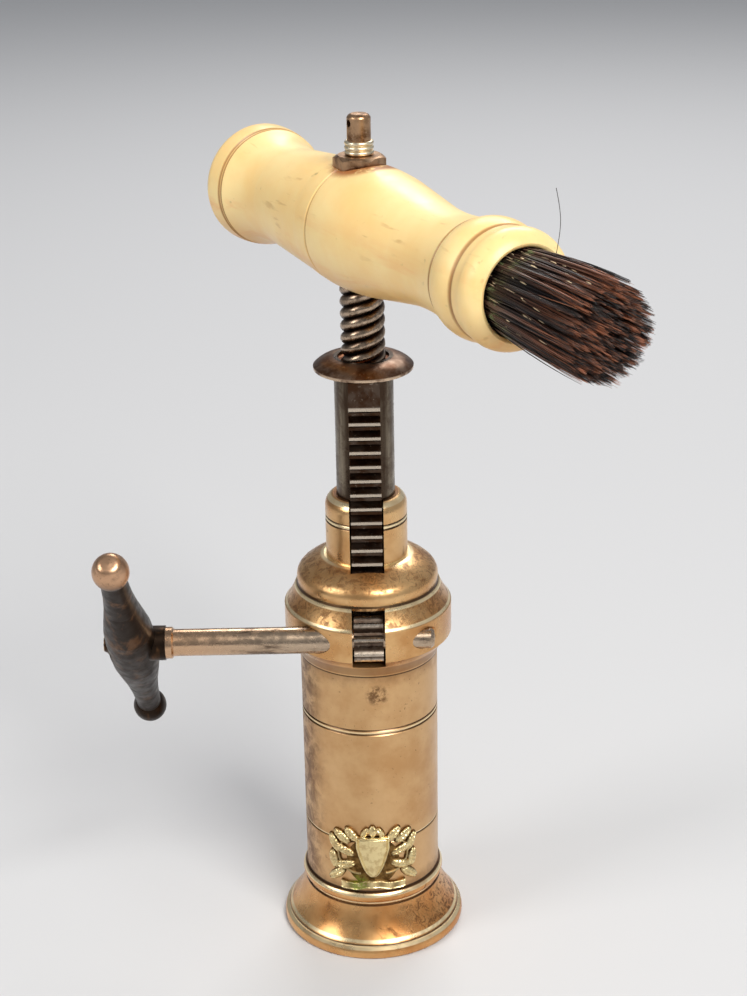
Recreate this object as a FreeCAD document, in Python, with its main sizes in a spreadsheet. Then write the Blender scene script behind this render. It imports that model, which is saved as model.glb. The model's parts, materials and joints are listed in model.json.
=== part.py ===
import FreeCAD, Part
import math
import os

import Sketcher
from FreeCAD import Placement, Rotation, Vector

# Side-handle rack corkscrew, upright on its foot. Millimetres, +Z up.
# The origin is the barrel's axis on the plane of the foot. The rack and its window face -Y,
# the side rod runs towards -X, and the brush end of the bone handle points to the front right.

DIMENSIONS = {
    "BarrelRadius": 15.0,
    "BarrelBore": 12.5,
    "BarrelTop": 68.3,
    "SpigotRadius": 14.0,
    "SpigotLength": 5.2,
    "FootRadius": 20.45,
    "FootHeight": 14.2,
    "MouthRadius": 15.6,
    "MouthDepth": 6.0,
    "HousingRadius": 18.1,
    "HousingTop": 84.3,
    "HousingSocket": 2.2,
    "WindowHalf": 3.5,
    "WindowBottom": 71.1,
    "CapTop": 90.9,
    "CapBore": 7.6,
    "NeckRadius": 8.75,
    "NeckTop": 104.8,
    "PlateHeight": 23.2,
    "TubeRadius": 6.2,
    "TubeBore": 5.0,
    "TubeBottom": 35.0,
    "NutSeatRadius": 5.4,
    "NutSeatBottom": 120.0,
    "FlangeBottom": 132.5,
    "FlangeTop": 135.2,
    "FlangeRadius": 10.45,
    "RackHalf": 3.25,
    "RackBack": 5.75,
    "ToothModule": 1.0,
    "PinionTeeth": 8.0,
    "PinionHeight": 76.4,
    "PinionOffset": 13.2,
    "GearHalf": 3.1,
    "RodRadius": 2.88,
    "ShaftRadius": 2.25,
    "GripOffset": 50.2,
    "GripTilt": 49.3,
    "GuideBottom": 66.3,
    "GuideTop": 74.3,
    "ThreadLead": 7.8,
    "ThreadRadius": 4.65,
    "ShankRadius": 2.5,
    "StudRadius": 1.8,
    "HandleHeight": 162.8,
    "HandleYaw": -60.7,
    "HandleEnd": 59.0,
    "BrushSocketRadius": 8.4,
    "NutSeat": 11.8,
    "WormTip": 12.0,
    "CoilTop": 57.0,
    "CoilRadius": 3.0,
    "WireRadius": 1.4,
    "PinRadius": 0.75,
    "RunFit": 0.07,
    "SeatGap": 0.03,
}

doc = FreeCAD.newDocument("corkscrew")
sheet = doc.addObject("Spreadsheet::Sheet", "Size")
for row, (alias, value) in enumerate(DIMENSIONS.items(), start=1):
    sheet.set("A%d" % row, alias)
    sheet.set("B%d" % row, str(value))
    sheet.setAlias("B%d" % row, alias)
doc.recompute()

X_AXIS = Vector(1, 0, 0)
Y_AXIS = Vector(0, 1, 0)
Z_AXIS = Vector(0, 0, 1)
nodes = []

# ---------------------------------------------------------------- ways to build a piece
# A size is a number, or a formula over the sheet's cells written as text.


def number(size):
    """A size as a plain number."""
    if isinstance(size, str):
        return float(sheet.evalExpression(size))
    return float(size)


def bind(feature, name, size):
    """Sets a property of a feature, and ties it to the sheet when the size is a formula."""
    whole = isinstance(getattr(feature, name), int)
    setattr(feature, name, int(number(size)) if whole else number(size))
    if isinstance(size, str):
        feature.setExpression(name, size)


def place(thing, x=0, y=0, z=0, turn=Rotation()):
    """Puts a body or primitive at a place whose coordinates may be formulas."""
    thing.Placement = Placement(Vector(number(x), number(y), number(z)), turn)
    for letter, size in zip("xyz", (x, y, z)):
        if isinstance(size, str):
            thing.setExpression("Placement.Base." + letter, size)


def new_node(kind, name):
    """An object that becomes one exported piece."""
    thing = doc.addObject(kind, name)
    thing.Label = name
    nodes.append(thing)
    return thing


def new_body(name, **where):
    body = new_node("PartDesign::Body", name)
    place(body, **where)
    return body


def new_sketch(body, role, offset=0, turn=Rotation()):
    """An empty sketch on one of the body's origin planes, moved by offset along the plane's normal."""
    sketch = body.newObject("Sketcher::SketchObject", body.Name + "_sketch")
    plane = [feature for feature in body.Origin.OriginFeatures if feature.Role == role][0]
    sketch.AttachmentSupport = [(plane, "")]
    sketch.MapMode = "FlatFace"
    sketch.AttachmentOffset = Placement(turn.multVec(Vector(0, 0, number(offset))), turn)
    if isinstance(offset, str):
        sketch.setExpression("AttachmentOffset.Base.z", offset)
    return sketch


def end_near(sketch, edge, place):
    """Which end of a sketch edge, 1 or 2, lies at the given place."""
    start_gap = sketch.getPoint(edge, 1).distanceToPoint(place)
    return 1 if start_gap < sketch.getPoint(edge, 2).distanceToPoint(place) else 2


def fix_point(rules, ties, where, point, place):
    """Adds the two constraints that hold a sketch point, and notes the formulas they follow."""
    kinds = (("DistanceX", -2, point[0], place.x), ("DistanceY", -1, point[1], place.y))
    for kind, axis, size, reach in kinds:
        if abs(reach) < 1e-9:
            rules.append(Sketcher.Constraint("PointOnObject", *where, axis))
            continue
        if isinstance(size, str):
            ties.append((len(rules), size))
        rules.append(Sketcher.Constraint(kind, -1, 1, *where, reach))


def add_rules(sketch, rules, ties):
    """Adds constraints to a sketch and binds the noted ones to their formulas."""
    first = sketch.ConstraintCount
    sketch.addConstraint(rules)
    for index, size in ties:
        sketch.setExpression("Constraints[%d]" % (first + index), size)


def draw(sketch, outline):
    """Draws a closed outline of (across, up) points. A third number on a point makes the stretch that
    ends there an arc, standing out that far to the left of its straight line."""
    first = sketch.GeometryCount
    places = [Vector(number(point[0]), number(point[1]), 0) for point in outline]
    for index, point in enumerate(outline):
        start, end = places[index - 1], places[index]
        if len(point) == 3:
            left = Vector(start.y - end.y, end.x - start.x, 0).normalize()
            sketch.addGeometry(Part.Arc(start, (start + end) / 2 + left * point[2], end))
        else:
            sketch.addGeometry(Part.LineSegment(start, end))
    rules = []
    ties = []
    for index, point in enumerate(outline):
        here = first + index
        after = first + (index + 1) % len(outline)
        where = (here, end_near(sketch, here, places[index]))
        rules.append(Sketcher.Constraint("Coincident", *where, after, end_near(sketch, after, places[index])))
        fix_point(rules, ties, where, point, places[index])
        if len(point) == 3:
            rules.append(Sketcher.Constraint("Radius", here, sketch.Geometry[here].Radius))
    add_rules(sketch, rules, ties)


def draw_circle(sketch, across, up, radius):
    centre = Vector(number(across), number(up), 0)
    edge = sketch.addGeometry(Part.Circle(centre, Z_AXIS, number(radius)))
    rules = []
    ties = []
    fix_point(rules, ties, (edge, 3), (across, up), centre)
    if isinstance(radius, str):
        ties.append((len(rules), radius))
    rules.append(Sketcher.Constraint("Radius", edge, number(radius)))
    add_rules(sketch, rules, ties)


def draw_box(sketch, across, up):
    """A rectangle between the two sizes of across and the two sizes of up."""
    draw(sketch, [(across[0], up[0]), (across[1], up[0]), (across[1], up[1]), (across[0], up[1])])


def revolve(body, outline, kind="PartDesign::Revolution", axis="V_Axis"):
    """Turns an outline drawn on the XZ plane about that plane's upright or level axis."""
    sketch = new_sketch(body, "XZ_Plane")
    draw(sketch, outline)
    turned = body.newObject(kind, body.Name + "_turned")
    turned.Profile = sketch
    turned.ReferenceAxis = (sketch, [axis])
    turned.Angle = 360
    doc.recompute()
    return turned


def pad(body, sketch, length, symmetric=False):
    block = body.newObject("PartDesign::Pad", body.Name + "_pad")
    block.Profile = sketch
    block.SideType = "Symmetric" if symmetric else "One side"
    bind(block, "Length", length)
    doc.recompute()
    return block


def pocket(body, sketch, length=None, symmetric=False, along_normal=False):
    """Cuts a sketch into a body, right through unless a length is given, and makes sure that it cut."""
    before = body.Shape.Volume
    hollow = body.newObject("PartDesign::Pocket", body.Name + "_pocket")
    hollow.Profile = sketch
    hollow.SideType = "Symmetric" if symmetric else "One side"
    hollow.Reversed = along_normal
    if length is None:
        hollow.Type = "ThroughAll"
    else:
        bind(hollow, "Length", length)
    doc.recompute()
    if not body.Shape.Volume < before - 1e-6:
        raise RuntimeError("a pocket in %s cuts nothing" % body.Label)
    return hollow


def repeat(body, feature, kind, **settings):
    """Repeats a feature in a linear or polar pattern."""
    pattern = body.newObject(kind, body.Name + "_pattern")
    pattern.Originals = [feature]
    for name, value in settings.items():
        if name in ("Direction", "Axis"):
            setattr(pattern, name, value)
        else:
            bind(pattern, name, value)
    body.Tip = pattern
    doc.recompute()


def ring(body, outer, inner, bottom, top):
    """A plain ring about Z."""
    revolve(body, [(inner, bottom), (outer, bottom), (outer, top), (inner, top)])


def cylinder(name, radius, length, axis, **where):
    """A plain round pin that runs along axis from its place."""
    pin = doc.addObject("Part::Cylinder", name)
    bind(pin, "Radius", radius)
    bind(pin, "Height", length)
    place(pin, turn=Rotation(Z_AXIS, axis), **where)
    return pin


def shaped(name, shape):
    """A piece whose form no sketch or primitive makes, such as a screw thread."""
    piece = new_node("Part::Feature", name)
    piece.Shape = shape
    return piece


def grooved_wall(radius, bottom, top, grooves, depth=0.22, half_width=0.28):
    """The side of a cylinder from bottom to top, with a small V groove at each given height."""
    outline = [(radius, bottom)]
    for height in grooves:
        outline.append((radius, height - half_width))
        outline.append(("%s - %s" % (radius, depth), height))
        outline.append((radius, height + half_width))
    outline.append((radius, top))
    return outline


# ---------------------------------------------------------------- barrel and foot

SPIGOT_FOOT = "Size.FootHeight - Size.SpigotLength"
SPIGOT_SEAT = "Size.SpigotRadius + Size.SeatGap"
SOCKET_TOP = "Size.BarrelTop + Size.HousingSocket"
PIN_AZIMUTHS = (-14.0, 14.0)
PLATE_PIN_RADIUS = 0.5
PIN_HEIGHT = "Size.PlateHeight - 5.1"


def barrel_tube():
    body = new_body("barrel_tube")
    outline = [("Size.BarrelBore", SPIGOT_FOOT), ("Size.SpigotRadius", SPIGOT_FOOT)]
    outline.append(("Size.SpigotRadius", "Size.FootHeight"))
    outline += grooved_wall("Size.BarrelRadius", "Size.FootHeight", "Size.BarrelTop", [27.0, 54.0, 55.0])
    outline += [
        ("Size.SpigotRadius", "Size.BarrelTop"),
        ("Size.SpigotRadius", SOCKET_TOP),
        ("Size.BarrelBore", SOCKET_TOP),
    ]
    revolve(body, outline)
    for azimuth in PIN_AZIMUTHS:
        sketch = new_sketch(body, "XZ_Plane", turn=Rotation(Y_AXIS, azimuth))
        draw_circle(sketch, 0, PIN_HEIGHT, "%s + Size.SeatGap" % PLATE_PIN_RADIUS)
        pocket(body, sketch, along_normal=True)


def base_foot():
    """A bell foot: flat underside, flared side, a bead on top, and a recess for the bottle's lip."""
    revolve(new_body("base_foot"), [
        ("Size.MouthRadius", 0),
        ("Size.FootRadius - 0.5", 0),
        ("Size.FootRadius", 0.7, -0.12),
        ("Size.FootRadius - 0.25", 2.1, -0.1),
        ("Size.FootRadius - 0.95", 2.55),
        ("Size.FootRadius - 1.0", 3.1),
        ("Size.BarrelRadius + 0.45", 10.8, 0.49),
        ("Size.BarrelRadius + 0.2", 10.95),
        ("Size.BarrelRadius + 0.2", 11.5),
        ("Size.BarrelRadius + 0.12", "Size.FootHeight", -0.78),
        (SPIGOT_SEAT, "Size.FootHeight"),
        (SPIGOT_SEAT, SPIGOT_FOOT),
        ("Size.BarrelBore", SPIGOT_FOOT),
        ("Size.BarrelBore", "Size.MouthDepth"),
        ("Size.MouthRadius", "Size.MouthDepth"),
    ])


# ---------------------------------------------------------------- pinion housing, cap and neck

RACK_CREST = "(Size.PinionOffset - Size.ToothModule * (Size.PinionTeeth / 2 - 0.8))"
SLEEVE_BOTTOM = "Size.HousingTop - 1.9"
SLOT_HALF = "Size.WindowHalf + 0.1"


def pinion_housing():
    body = new_body("pinion_housing")
    revolve(body, [
        (SPIGOT_SEAT, "Size.BarrelTop"),
        ("Size.BarrelRadius + 0.1", "Size.BarrelTop"),
        ("Size.HousingRadius", 72.9, 0.4),
        ("Size.HousingRadius", 79.7),
        ("Size.HousingRadius - 0.3", 79.95),
        ("Size.BarrelRadius + 0.7", 84.0, 0.15),
        ("Size.BarrelRadius + 0.3", "Size.HousingTop"),
        ("Size.BarrelBore", "Size.HousingTop"),
        ("Size.BarrelBore", SOCKET_TOP),
        (SPIGOT_SEAT, SOCKET_TOP),
    ])
    window = new_sketch(body, "XZ_Plane", offset=6)
    draw_box(window, ("-Size.WindowHalf", "Size.WindowHalf"), ("Size.WindowBottom", "Size.HousingTop + 1"))
    pocket(body, window, along_normal=True)
    for radius, to_right in (("Size.RodRadius", False), ("Size.ShaftRadius", True)):
        bore = new_sketch(body, "YZ_Plane")
        draw_circle(bore, "-Size.PinionOffset", "Size.PinionHeight", radius + " + Size.RunFit")
        pocket(body, bore, along_normal=to_right)


def shoulder_cap():
    body = new_body("shoulder_cap")
    revolve(body, [
        ("Size.CapBore", SLEEVE_BOTTOM),
        ("Size.BarrelBore - 0.05", SLEEVE_BOTTOM),
        ("Size.BarrelBore - 0.05", "Size.HousingTop"),
        ("Size.BarrelRadius + 0.25", "Size.HousingTop"),
        ("Size.BarrelRadius + 0.05", 84.75),
        (14.1, 88.3, -0.6),
        ("Size.NeckRadius + 0.55", "Size.CapTop", -0.3),
        ("Size.CapBore", "Size.CapTop"),
    ])
    slot = new_sketch(body, "XZ_Plane")
    draw_box(slot, ("-(%s)" % SLOT_HALF, SLOT_HALF), (80, "Size.CapTop + 1"))
    pocket(body, slot, RACK_CREST + " + 0.45", along_normal=True)


def guide_neck():
    body = new_body("guide_neck")
    bore = "Size.TubeRadius + Size.RunFit"
    sleeve = "Size.CapBore - Size.SeatGap"
    outline = [(bore, SLEEVE_BOTTOM), (sleeve, SLEEVE_BOTTOM), (sleeve, "Size.CapTop")]
    outline += grooved_wall("Size.NeckRadius", "Size.CapTop", "Size.NeckTop - 2.6", [99.1, 100.0], 0.2, 0.25)
    outline += [("Size.NeckRadius - 1.7", "Size.NeckTop", -0.46), (bore, "Size.NeckTop")]
    revolve(body, outline)
    slot = new_sketch(body, "XZ_Plane")
    draw_box(slot, ("-(%s)" % SLOT_HALF, SLOT_HALF), (80, "Size.NeckTop + 1"))
    pocket(body, slot, along_normal=True)


# ---------------------------------------------------------------- ornament plate

LEAVES = [
    (4.6, 5.9, 2.3, 1.1, 48.0),
    (6.9, 5.0, 2.5, 1.15, 38.0),
    (8.7, 2.9, 2.6, 1.1, 62.0),
    (6.3, 1.6, 2.6, 1.1, 22.0),
    (9.0, -1.3, 2.5, 1.1, 78.0),
    (6.2, -2.1, 2.5, 1.15, -18.0),
    (8.3, -5.0, 2.7, 1.15, -40.0),
]
FAN = [(0.0, 7.0, 0.95, 1.5, 0.0), (1.7, 6.6, 0.8, 1.45, -30.0)]
GROUND_THICKNESS = 0.5


def dim(alias):
    """The sheet's value of one driving dimension."""
    return number("Size." + alias)


def ellipse_column(x, z, across, up, turn=0.0):
    """An elliptical column along Y about the plate's middle, its long axis turned by turn degrees."""
    circle = Part.makeCylinder(1.0, 14.0, Vector(0, 0, 0), Vector(0, -1, 0))
    stretch = FreeCAD.Matrix()
    stretch.scale(across, 1.0, up)
    column = circle.transformGeometry(stretch)
    column.rotate(Vector(0, 0, 0), Y_AXIS, turn)
    column.translate(Vector(x, -8.0, dim("PlateHeight") + z))
    return column


def wall_between(inner, outer):
    """A tube about Z at the plate's height, between two distances from the barrel's face."""
    base = Vector(0, 0, dim("PlateHeight") - 12)
    barrel = dim("BarrelRadius")
    outside = Part.makeCylinder(barrel + outer, 24, base)
    return outside.cut(Part.makeCylinder(barrel + inner, 26, base - Z_AXIS))


def shield_column(half_width, top, bottom):
    """A plain heater shield as a column along Y."""
    middle = dim("PlateHeight")
    corners = []
    left_side = [(-half_width, top), (-half_width, top - 3.2)]
    right_side = [(half_width, top - 3.2), (half_width, top)]
    for x, z in left_side + [(0, bottom)] + right_side:
        corners.append(Vector(x, -8.0, middle + z))
    left_belly = Vector(-half_width * 0.72, -8.0, middle + (top - 3.2 + bottom) / 2 - 0.7)
    right_belly = Vector(half_width * 0.72, -8.0, left_belly.z)
    edges = [
        Part.makeLine(corners[0], corners[1]),
        Part.Arc(corners[1], left_belly, corners[2]).toShape(),
        Part.Arc(corners[2], right_belly, corners[3]).toShape(),
        Part.makeLine(corners[3], corners[4]),
        Part.makeLine(corners[4], corners[0]),
    ]
    return Part.Face(Part.Wire(edges)).extrude(Vector(0, -14, 0))


def leaf_columns(margin):
    """Every leaf of the two sprays and of the fan, mirrored left and right, grown by margin."""
    columns = []
    for x, z, across, up, turn in LEAVES + FAN:
        for side in (-1, 1):
            columns.append(ellipse_column(side * x, z, across + margin, up + margin, -side * turn))
    return columns


def outward(azimuth, reach, height=0.0):
    """The point reach away from the barrel's axis at an azimuth from the front, and at a height."""
    angle = math.radians(azimuth)
    return Vector(reach * math.sin(angle), -reach * math.cos(angle), height)


def shield_plate():
    """A thin curved ground with a raised shield, leaf sprays, a fan above and a ribbon below."""
    ribbon = Part.makeBox(14.8, 25, 2.1, Vector(-7.4, -25, dim("PlateHeight") - 8.3))
    ground = ellipse_column(0, 0.4, 5.2, 6.4).fuse(leaf_columns(0.4) + [ribbon])
    plate = ground.common(wall_between(0.02, GROUND_THICKNESS))
    raised = [shield_column(3.5, 6.3, -3.9).common(wall_between(0.3, 1.15))]
    raised += [leaf.common(wall_between(0.3, 0.85)) for leaf in leaf_columns(0.0)]
    raised.append(ribbon.common(wall_between(0.3, 0.8)))
    plate = plate.fuse(raised)
    for azimuth in PIN_AZIMUTHS:
        start = outward(azimuth, dim("BarrelRadius") - 1.3, number(PIN_HEIGHT))
        hole_r = PLATE_PIN_RADIUS + dim("SeatGap")
        plate = plate.cut(Part.makeCylinder(hole_r, 8.0, start, outward(azimuth, 1.0)))
    shaped("shield_plate", plate.removeSplitter())


def plate_pins():
    """Two small rivets through the plate into the barrel, each a shank and a low cone head."""
    parts = []
    for index, azimuth in enumerate(PIN_AZIMUTHS):
        root = outward(azimuth, dim("BarrelRadius") - 1.2)
        seat = outward(azimuth, dim("BarrelRadius") + GROUND_THICKNESS + 0.02)
        axis = outward(azimuth, 1.0)
        name = "pin_shank_%d" % index
        shank = cylinder(name, PLATE_PIN_RADIUS, 2.0, axis, x=root.x, y=root.y, z=PIN_HEIGHT)
        head = doc.addObject("Part::Cone", "pin_head_%d" % index)
        head.Radius1 = 0.95
        head.Radius2 = 0.55
        head.Height = 0.4
        place(head, seat.x, seat.y, PIN_HEIGHT, Rotation(Z_AXIS, axis))
        parts += [shank, head]
    new_node("Part::MultiFuse", "plate_pins").Shapes = parts


# ---------------------------------------------------------------- rack tube and rack

RIVET_RADIUS = 0.8
RIVET_HEIGHTS = ("Size.TubeBottom + 3", "Size.FlangeBottom - 2.6")
FIRST_CREST = -10
LAST_CREST = 16
BACKLASH = 0.075
PRESSURE = math.radians(27.0)
RACK_TIP = 0.8
TOOTH_ROOT = 1.05
PITCH = "pi * Size.ToothModule"
RACK_ROOT = "(Size.PinionOffset - Size.ToothModule * (Size.PinionTeeth / 2 + %s))" % TOOTH_ROOT


def cut_rivet_holes(body):
    sketch = new_sketch(body, "XZ_Plane")
    for height in RIVET_HEIGHTS:
        draw_circle(sketch, 0, height, "%s + Size.SeatGap" % RIVET_RADIUS)
    pocket(body, sketch, along_normal=True)


def rack_tube():
    """The raising tube: a flat on its front for the rack, a key slot behind and a seat for the nut."""
    body = new_body("rack_tube")
    revolve(body, [
        ("Size.TubeBore", "Size.TubeBottom"),
        ("Size.TubeRadius", "Size.TubeBottom"),
        ("Size.TubeRadius", "Size.FlangeTop"),
        ("Size.NutSeatRadius", "Size.FlangeTop"),
        ("Size.NutSeatRadius", "Size.NutSeatBottom"),
        ("Size.TubeBore", "Size.NutSeatBottom"),
    ])
    flat = new_sketch(body, "XZ_Plane", offset="Size.RackBack")
    draw_box(flat, (-8, 8), ("Size.TubeBottom - 1", "Size.FlangeBottom"))
    pocket(body, flat, along_normal=True)
    key_slot = new_sketch(body, "XZ_Plane")
    draw_box(key_slot, (-1.15, 1.15), (53, 108.5))
    pocket(body, key_slot)
    cut_rivet_holes(body)


def rack_bar():
    """A bar with straight-sided stub teeth, left plain below the first tooth and above the last."""
    body = new_body("rack_bar")
    bottom = "Size.TubeBottom + 0.5"
    bar = new_sketch(body, "YZ_Plane")
    draw_box(bar, ("-" + RACK_CREST, "-Size.RackBack"), (bottom, "Size.FlangeBottom"))
    pad(body, bar, "2 * Size.RackHalf", symmetric=True)

    wide = "(%s / 4 + %.6f * Size.ToothModule)" % (PITCH, BACKLASH + RACK_TIP * math.tan(PRESSURE))
    narrow = "(%s / 4 + %.6f * Size.ToothModule)" % (PITCH, BACKLASH - TOOTH_ROOT * math.tan(PRESSURE))
    first_gap = "(Size.PinionHeight + (%s) * %s)" % (FIRST_CREST + 0.5, PITCH)
    gap_outline = [
        ("-" + RACK_CREST, "%s - %s" % (first_gap, wide)),
        ("-" + RACK_CREST, "%s + %s" % (first_gap, wide)),
        ("-" + RACK_ROOT, "%s + %s" % (first_gap, narrow)),
        ("-" + RACK_ROOT, "%s - %s" % (first_gap, narrow)),
    ]
    gap = new_sketch(body, "YZ_Plane")
    draw(gap, gap_outline)
    cut = pocket(body, gap, symmetric=True)
    repeat(
        body, cut, "PartDesign::LinearPattern", Direction=(gap, ["V_Axis"]),
        Length="%d * %s" % (LAST_CREST - FIRST_CREST - 1, PITCH), Occurrences=LAST_CREST - FIRST_CREST,
    )
    below = new_sketch(body, "YZ_Plane")
    lowest = "(Size.PinionHeight + (%s) * %s)" % (FIRST_CREST - 0.5, PITCH)
    draw(below, [
        ("-" + RACK_CREST, "Size.TubeBottom"),
        ("-" + RACK_ROOT, "Size.TubeBottom"),
        ("-" + RACK_ROOT, "%s + %s" % (lowest, narrow)),
        ("-" + RACK_CREST, "%s + %s" % (lowest, wide)),
    ])
    pocket(body, below, symmetric=True)
    cut_rivet_holes(body)


def rack_rivets():
    """Two rivets that hold the rack to its tube, one at each end."""
    fronts = (RACK_ROOT, RACK_CREST)
    backs = ("Size.TubeBore", "Size.NutSeatRadius")
    rivets = []
    for height, front, back in zip(RIVET_HEIGHTS, fronts, backs):
        length = "%s - %s - 0.12" % (front, back)
        name = "rivet_%d" % len(rivets)
        rivets.append(cylinder(name, RIVET_RADIUS, length, Y_AXIS, y="0.02 - " + front, z=height))
    new_node("Part::MultiFuse", "rack_rivets").Shapes = rivets


def rack_flange():
    revolve(new_body("rack_flange"), [
        ("Size.TubeRadius + Size.SeatGap", "Size.FlangeBottom"),
        ("Size.FlangeRadius - 0.35", "Size.FlangeBottom"),
        ("Size.FlangeRadius", "Size.FlangeBottom + 0.35", -0.1),
        ("Size.FlangeRadius", "Size.FlangeBottom + 0.8"),
        ("Size.TubeRadius + Size.SeatGap", "Size.FlangeTop", -0.45),
    ])


def stop_ring():
    """The ring at the tube's foot that guides it in the barrel, open at the front for the rack."""
    body = new_body("stop_ring")
    top = "Size.TubeBottom + 4"
    ring(body, "Size.BarrelBore - 0.12", "Size.TubeRadius + Size.SeatGap", "Size.TubeBottom", top)
    slot = new_sketch(body, "XZ_Plane")
    half = "(Size.RackHalf + 0.1)"
    draw_box(slot, ("-" + half, half), ("Size.TubeBottom - 1", "Size.TubeBottom + 5"))
    pocket(body, slot, RACK_CREST + " + 0.2", along_normal=True)


# ---------------------------------------------------------------- pinion, side rod and grip

PINION_TIP = 0.85
PINION_AXIS = {"y": "-Size.PinionOffset", "z": "Size.PinionHeight"}
RIVET_SEAT = 4.5
GRIP_CENTRE = {"x": "-Size.GripOffset", "y": "-Size.PinionOffset", "z": "Size.PinionHeight"}
GEAR_PIN_RADIUS = 0.6
ROD_END = "-Size.GripOffset"


def arc_rise(start, middle, end):
    """How far a point on an arc between two ends stands out to the left of their straight line."""
    along = (end - start).normalize()
    offset = middle - start
    return along.x * offset.y - along.y * offset.x


def polar(radius, angle):
    return Vector(radius * math.cos(angle), radius * math.sin(angle), 0)


def tooth_gap():
    """Outline of the gap between two involute teeth, centred on the direction of the rack."""
    pitch_r = dim("ToothModule") * dim("PinionTeeth") / 2
    base_r = pitch_r * math.cos(PRESSURE)
    tip_r = pitch_r + PINION_TIP * dim("ToothModule")
    root_r = pitch_r - TOOTH_ROOT * dim("ToothModule")
    half_step = math.pi / dim("PinionTeeth")
    half_tooth = half_step / 2 - BACKLASH / pitch_r + math.tan(PRESSURE) - PRESSURE

    def flank(radius):
        """A point on the upper flank of the gap."""
        roll = math.acos(base_r / radius)
        return polar(radius, half_step - half_tooth + math.tan(roll) - roll)

    low, middle, high = (flank(radius) for radius in (base_r, (base_r + tip_r) / 2, tip_r + 0.1))
    rise = arc_rise(low, middle, high)
    root = polar(root_r, half_step - half_tooth - 0.08)
    outside = tip_r + 1.0
    upper = [(root.x, root.y), (low.x, low.y), (high.x, high.y, rise), (outside, high.y)]
    lower = [(outside, -high.y), (high.x, -high.y), (low.x, -low.y, rise), (root.x, -root.y)]
    return upper + lower


def pinion_gear():
    body = new_body("pinion_gear", **PINION_AXIS)
    blank = new_sketch(body, "YZ_Plane")
    draw_circle(blank, 0, 0, "Size.ToothModule * (Size.PinionTeeth / 2 + %s)" % PINION_TIP)
    pad(body, blank, "2 * Size.GearHalf", symmetric=True)
    gap = new_sketch(body, "YZ_Plane")
    draw(gap, tooth_gap())
    cut = pocket(body, gap, symmetric=True)
    repeat(
        body, cut, "PartDesign::PolarPattern", Axis=(gap, ["N_Axis"]),
        Angle=360, Occurrences="Size.PinionTeeth",
    )
    bore = new_sketch(body, "YZ_Plane")
    draw_circle(bore, 0, 0, "Size.ShaftRadius + Size.SeatGap")
    pocket(body, bore, symmetric=True)
    cut_gear_pin_hole(body)


def cut_gear_pin_hole(body):
    hole = new_sketch(body, "XZ_Plane")
    draw_circle(hole, 0, 0, "%s + Size.SeatGap" % GEAR_PIN_RADIUS)
    pocket(body, hole, symmetric=True)


def gear_pin():
    length = "Size.ToothModule * (Size.PinionTeeth - 2.3)"
    start = "-Size.PinionOffset - %s / 2" % length
    pin = cylinder("gear_pin", GEAR_PIN_RADIUS, length, Y_AXIS, y=start, z="Size.PinionHeight")
    nodes.append(pin)


def pinion_shaft():
    """The side rod and the thinner journal that carries the pinion, turned about X in one piece."""
    body = new_body("pinion_shaft", **PINION_AXIS)
    revolve(body, [
        (ROD_END + " - %s" % (RIVET_SEAT + 1.3), 0),
        (ROD_END + " - %s" % (RIVET_SEAT + 1.3), 1.6),
        (ROD_END + " - %s" % RIVET_SEAT, 1.6),
        (ROD_END + " - %s" % RIVET_SEAT, 2.1),
        (ROD_END + " + 7.3", 2.1),
        (ROD_END + " + 7.3", "Size.RodRadius + 0.5"),
        (ROD_END + " + 8.6", "Size.RodRadius + 0.5"),
        (ROD_END + " + 9", "Size.RodRadius"),
        (-3.4, "Size.RodRadius"),
        (-3.4, "Size.ShaftRadius"),
        (13.2, "Size.ShaftRadius"),
        (13.9, "Size.ShaftRadius - 0.6"),
        (14.1, 0),
    ], axis="H_Axis")
    cut_gear_pin_hole(body)


GRIP_HALF = [
    (1.1, 40.0),
    (2.75, 38.9, -0.3),
    (2.7, 33.2, -1.0),
    (2.65, 32.4),
    (3.0, 25.0),
    (3.5, 19.5),
    (4.5, 12.3),
    (5.05, 8.0),
    (5.25, 3.5),
]


def side_grip():
    """The turned T grip, a long swelling between two knobs, with a short boss towards the rod."""
    body = new_body("side_grip", turn=Rotation(X_AXIS, 90 - dim("GripTilt")), **GRIP_CENTRE)
    lower = [(radius, -reach, *rise) for radius, reach, *rise in GRIP_HALF]
    upper = []
    for point, before in zip(reversed(GRIP_HALF), [(0, 0)] + GRIP_HALF[:0:-1]):
        upper.append((point[0], point[1], *before[2:]))
    outline = [(0, -40.1)] + lower + upper + [(0, 40.1)]
    revolve(body, outline)
    boss = new_sketch(body, "YZ_Plane")
    draw_circle(boss, 0, 0, 3.7)
    pad(body, boss, 7.2)
    bore = new_sketch(body, "YZ_Plane")
    draw_circle(bore, 0, 0, "2.1 + Size.SeatGap")
    pocket(body, bore, symmetric=True)
    rivet_seat = new_sketch(body, "YZ_Plane", offset=-RIVET_SEAT)
    draw_circle(rivet_seat, 0, 0, 3.1)
    pocket(body, rivet_seat)


def grip_rivet():
    """The domed washer that is riveted over the rod's end."""
    revolve(new_body("grip_rivet", **GRIP_CENTRE), [
        (-RIVET_SEAT - 0.02, "1.6 + Size.SeatGap"),
        (-RIVET_SEAT - 0.02, 3.0),
        (-RIVET_SEAT - 1.2, "1.6 + Size.SeatGap", 0.25),
    ], axis="H_Axis")


# ---------------------------------------------------------------- steady bush


def guide_bush():
    body = new_body("guide_bush")
    ring(body, "Size.TubeBore - Size.RunFit", "Size.ShankRadius + 0.06", "Size.GuideBottom", "Size.GuideTop")
    keyway = new_sketch(body, "XZ_Plane", offset=-3.6)
    draw_box(keyway, (-1, 1), ("Size.GuideBottom + 1", "Size.GuideTop - 1"))
    pocket(body, keyway)


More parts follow.
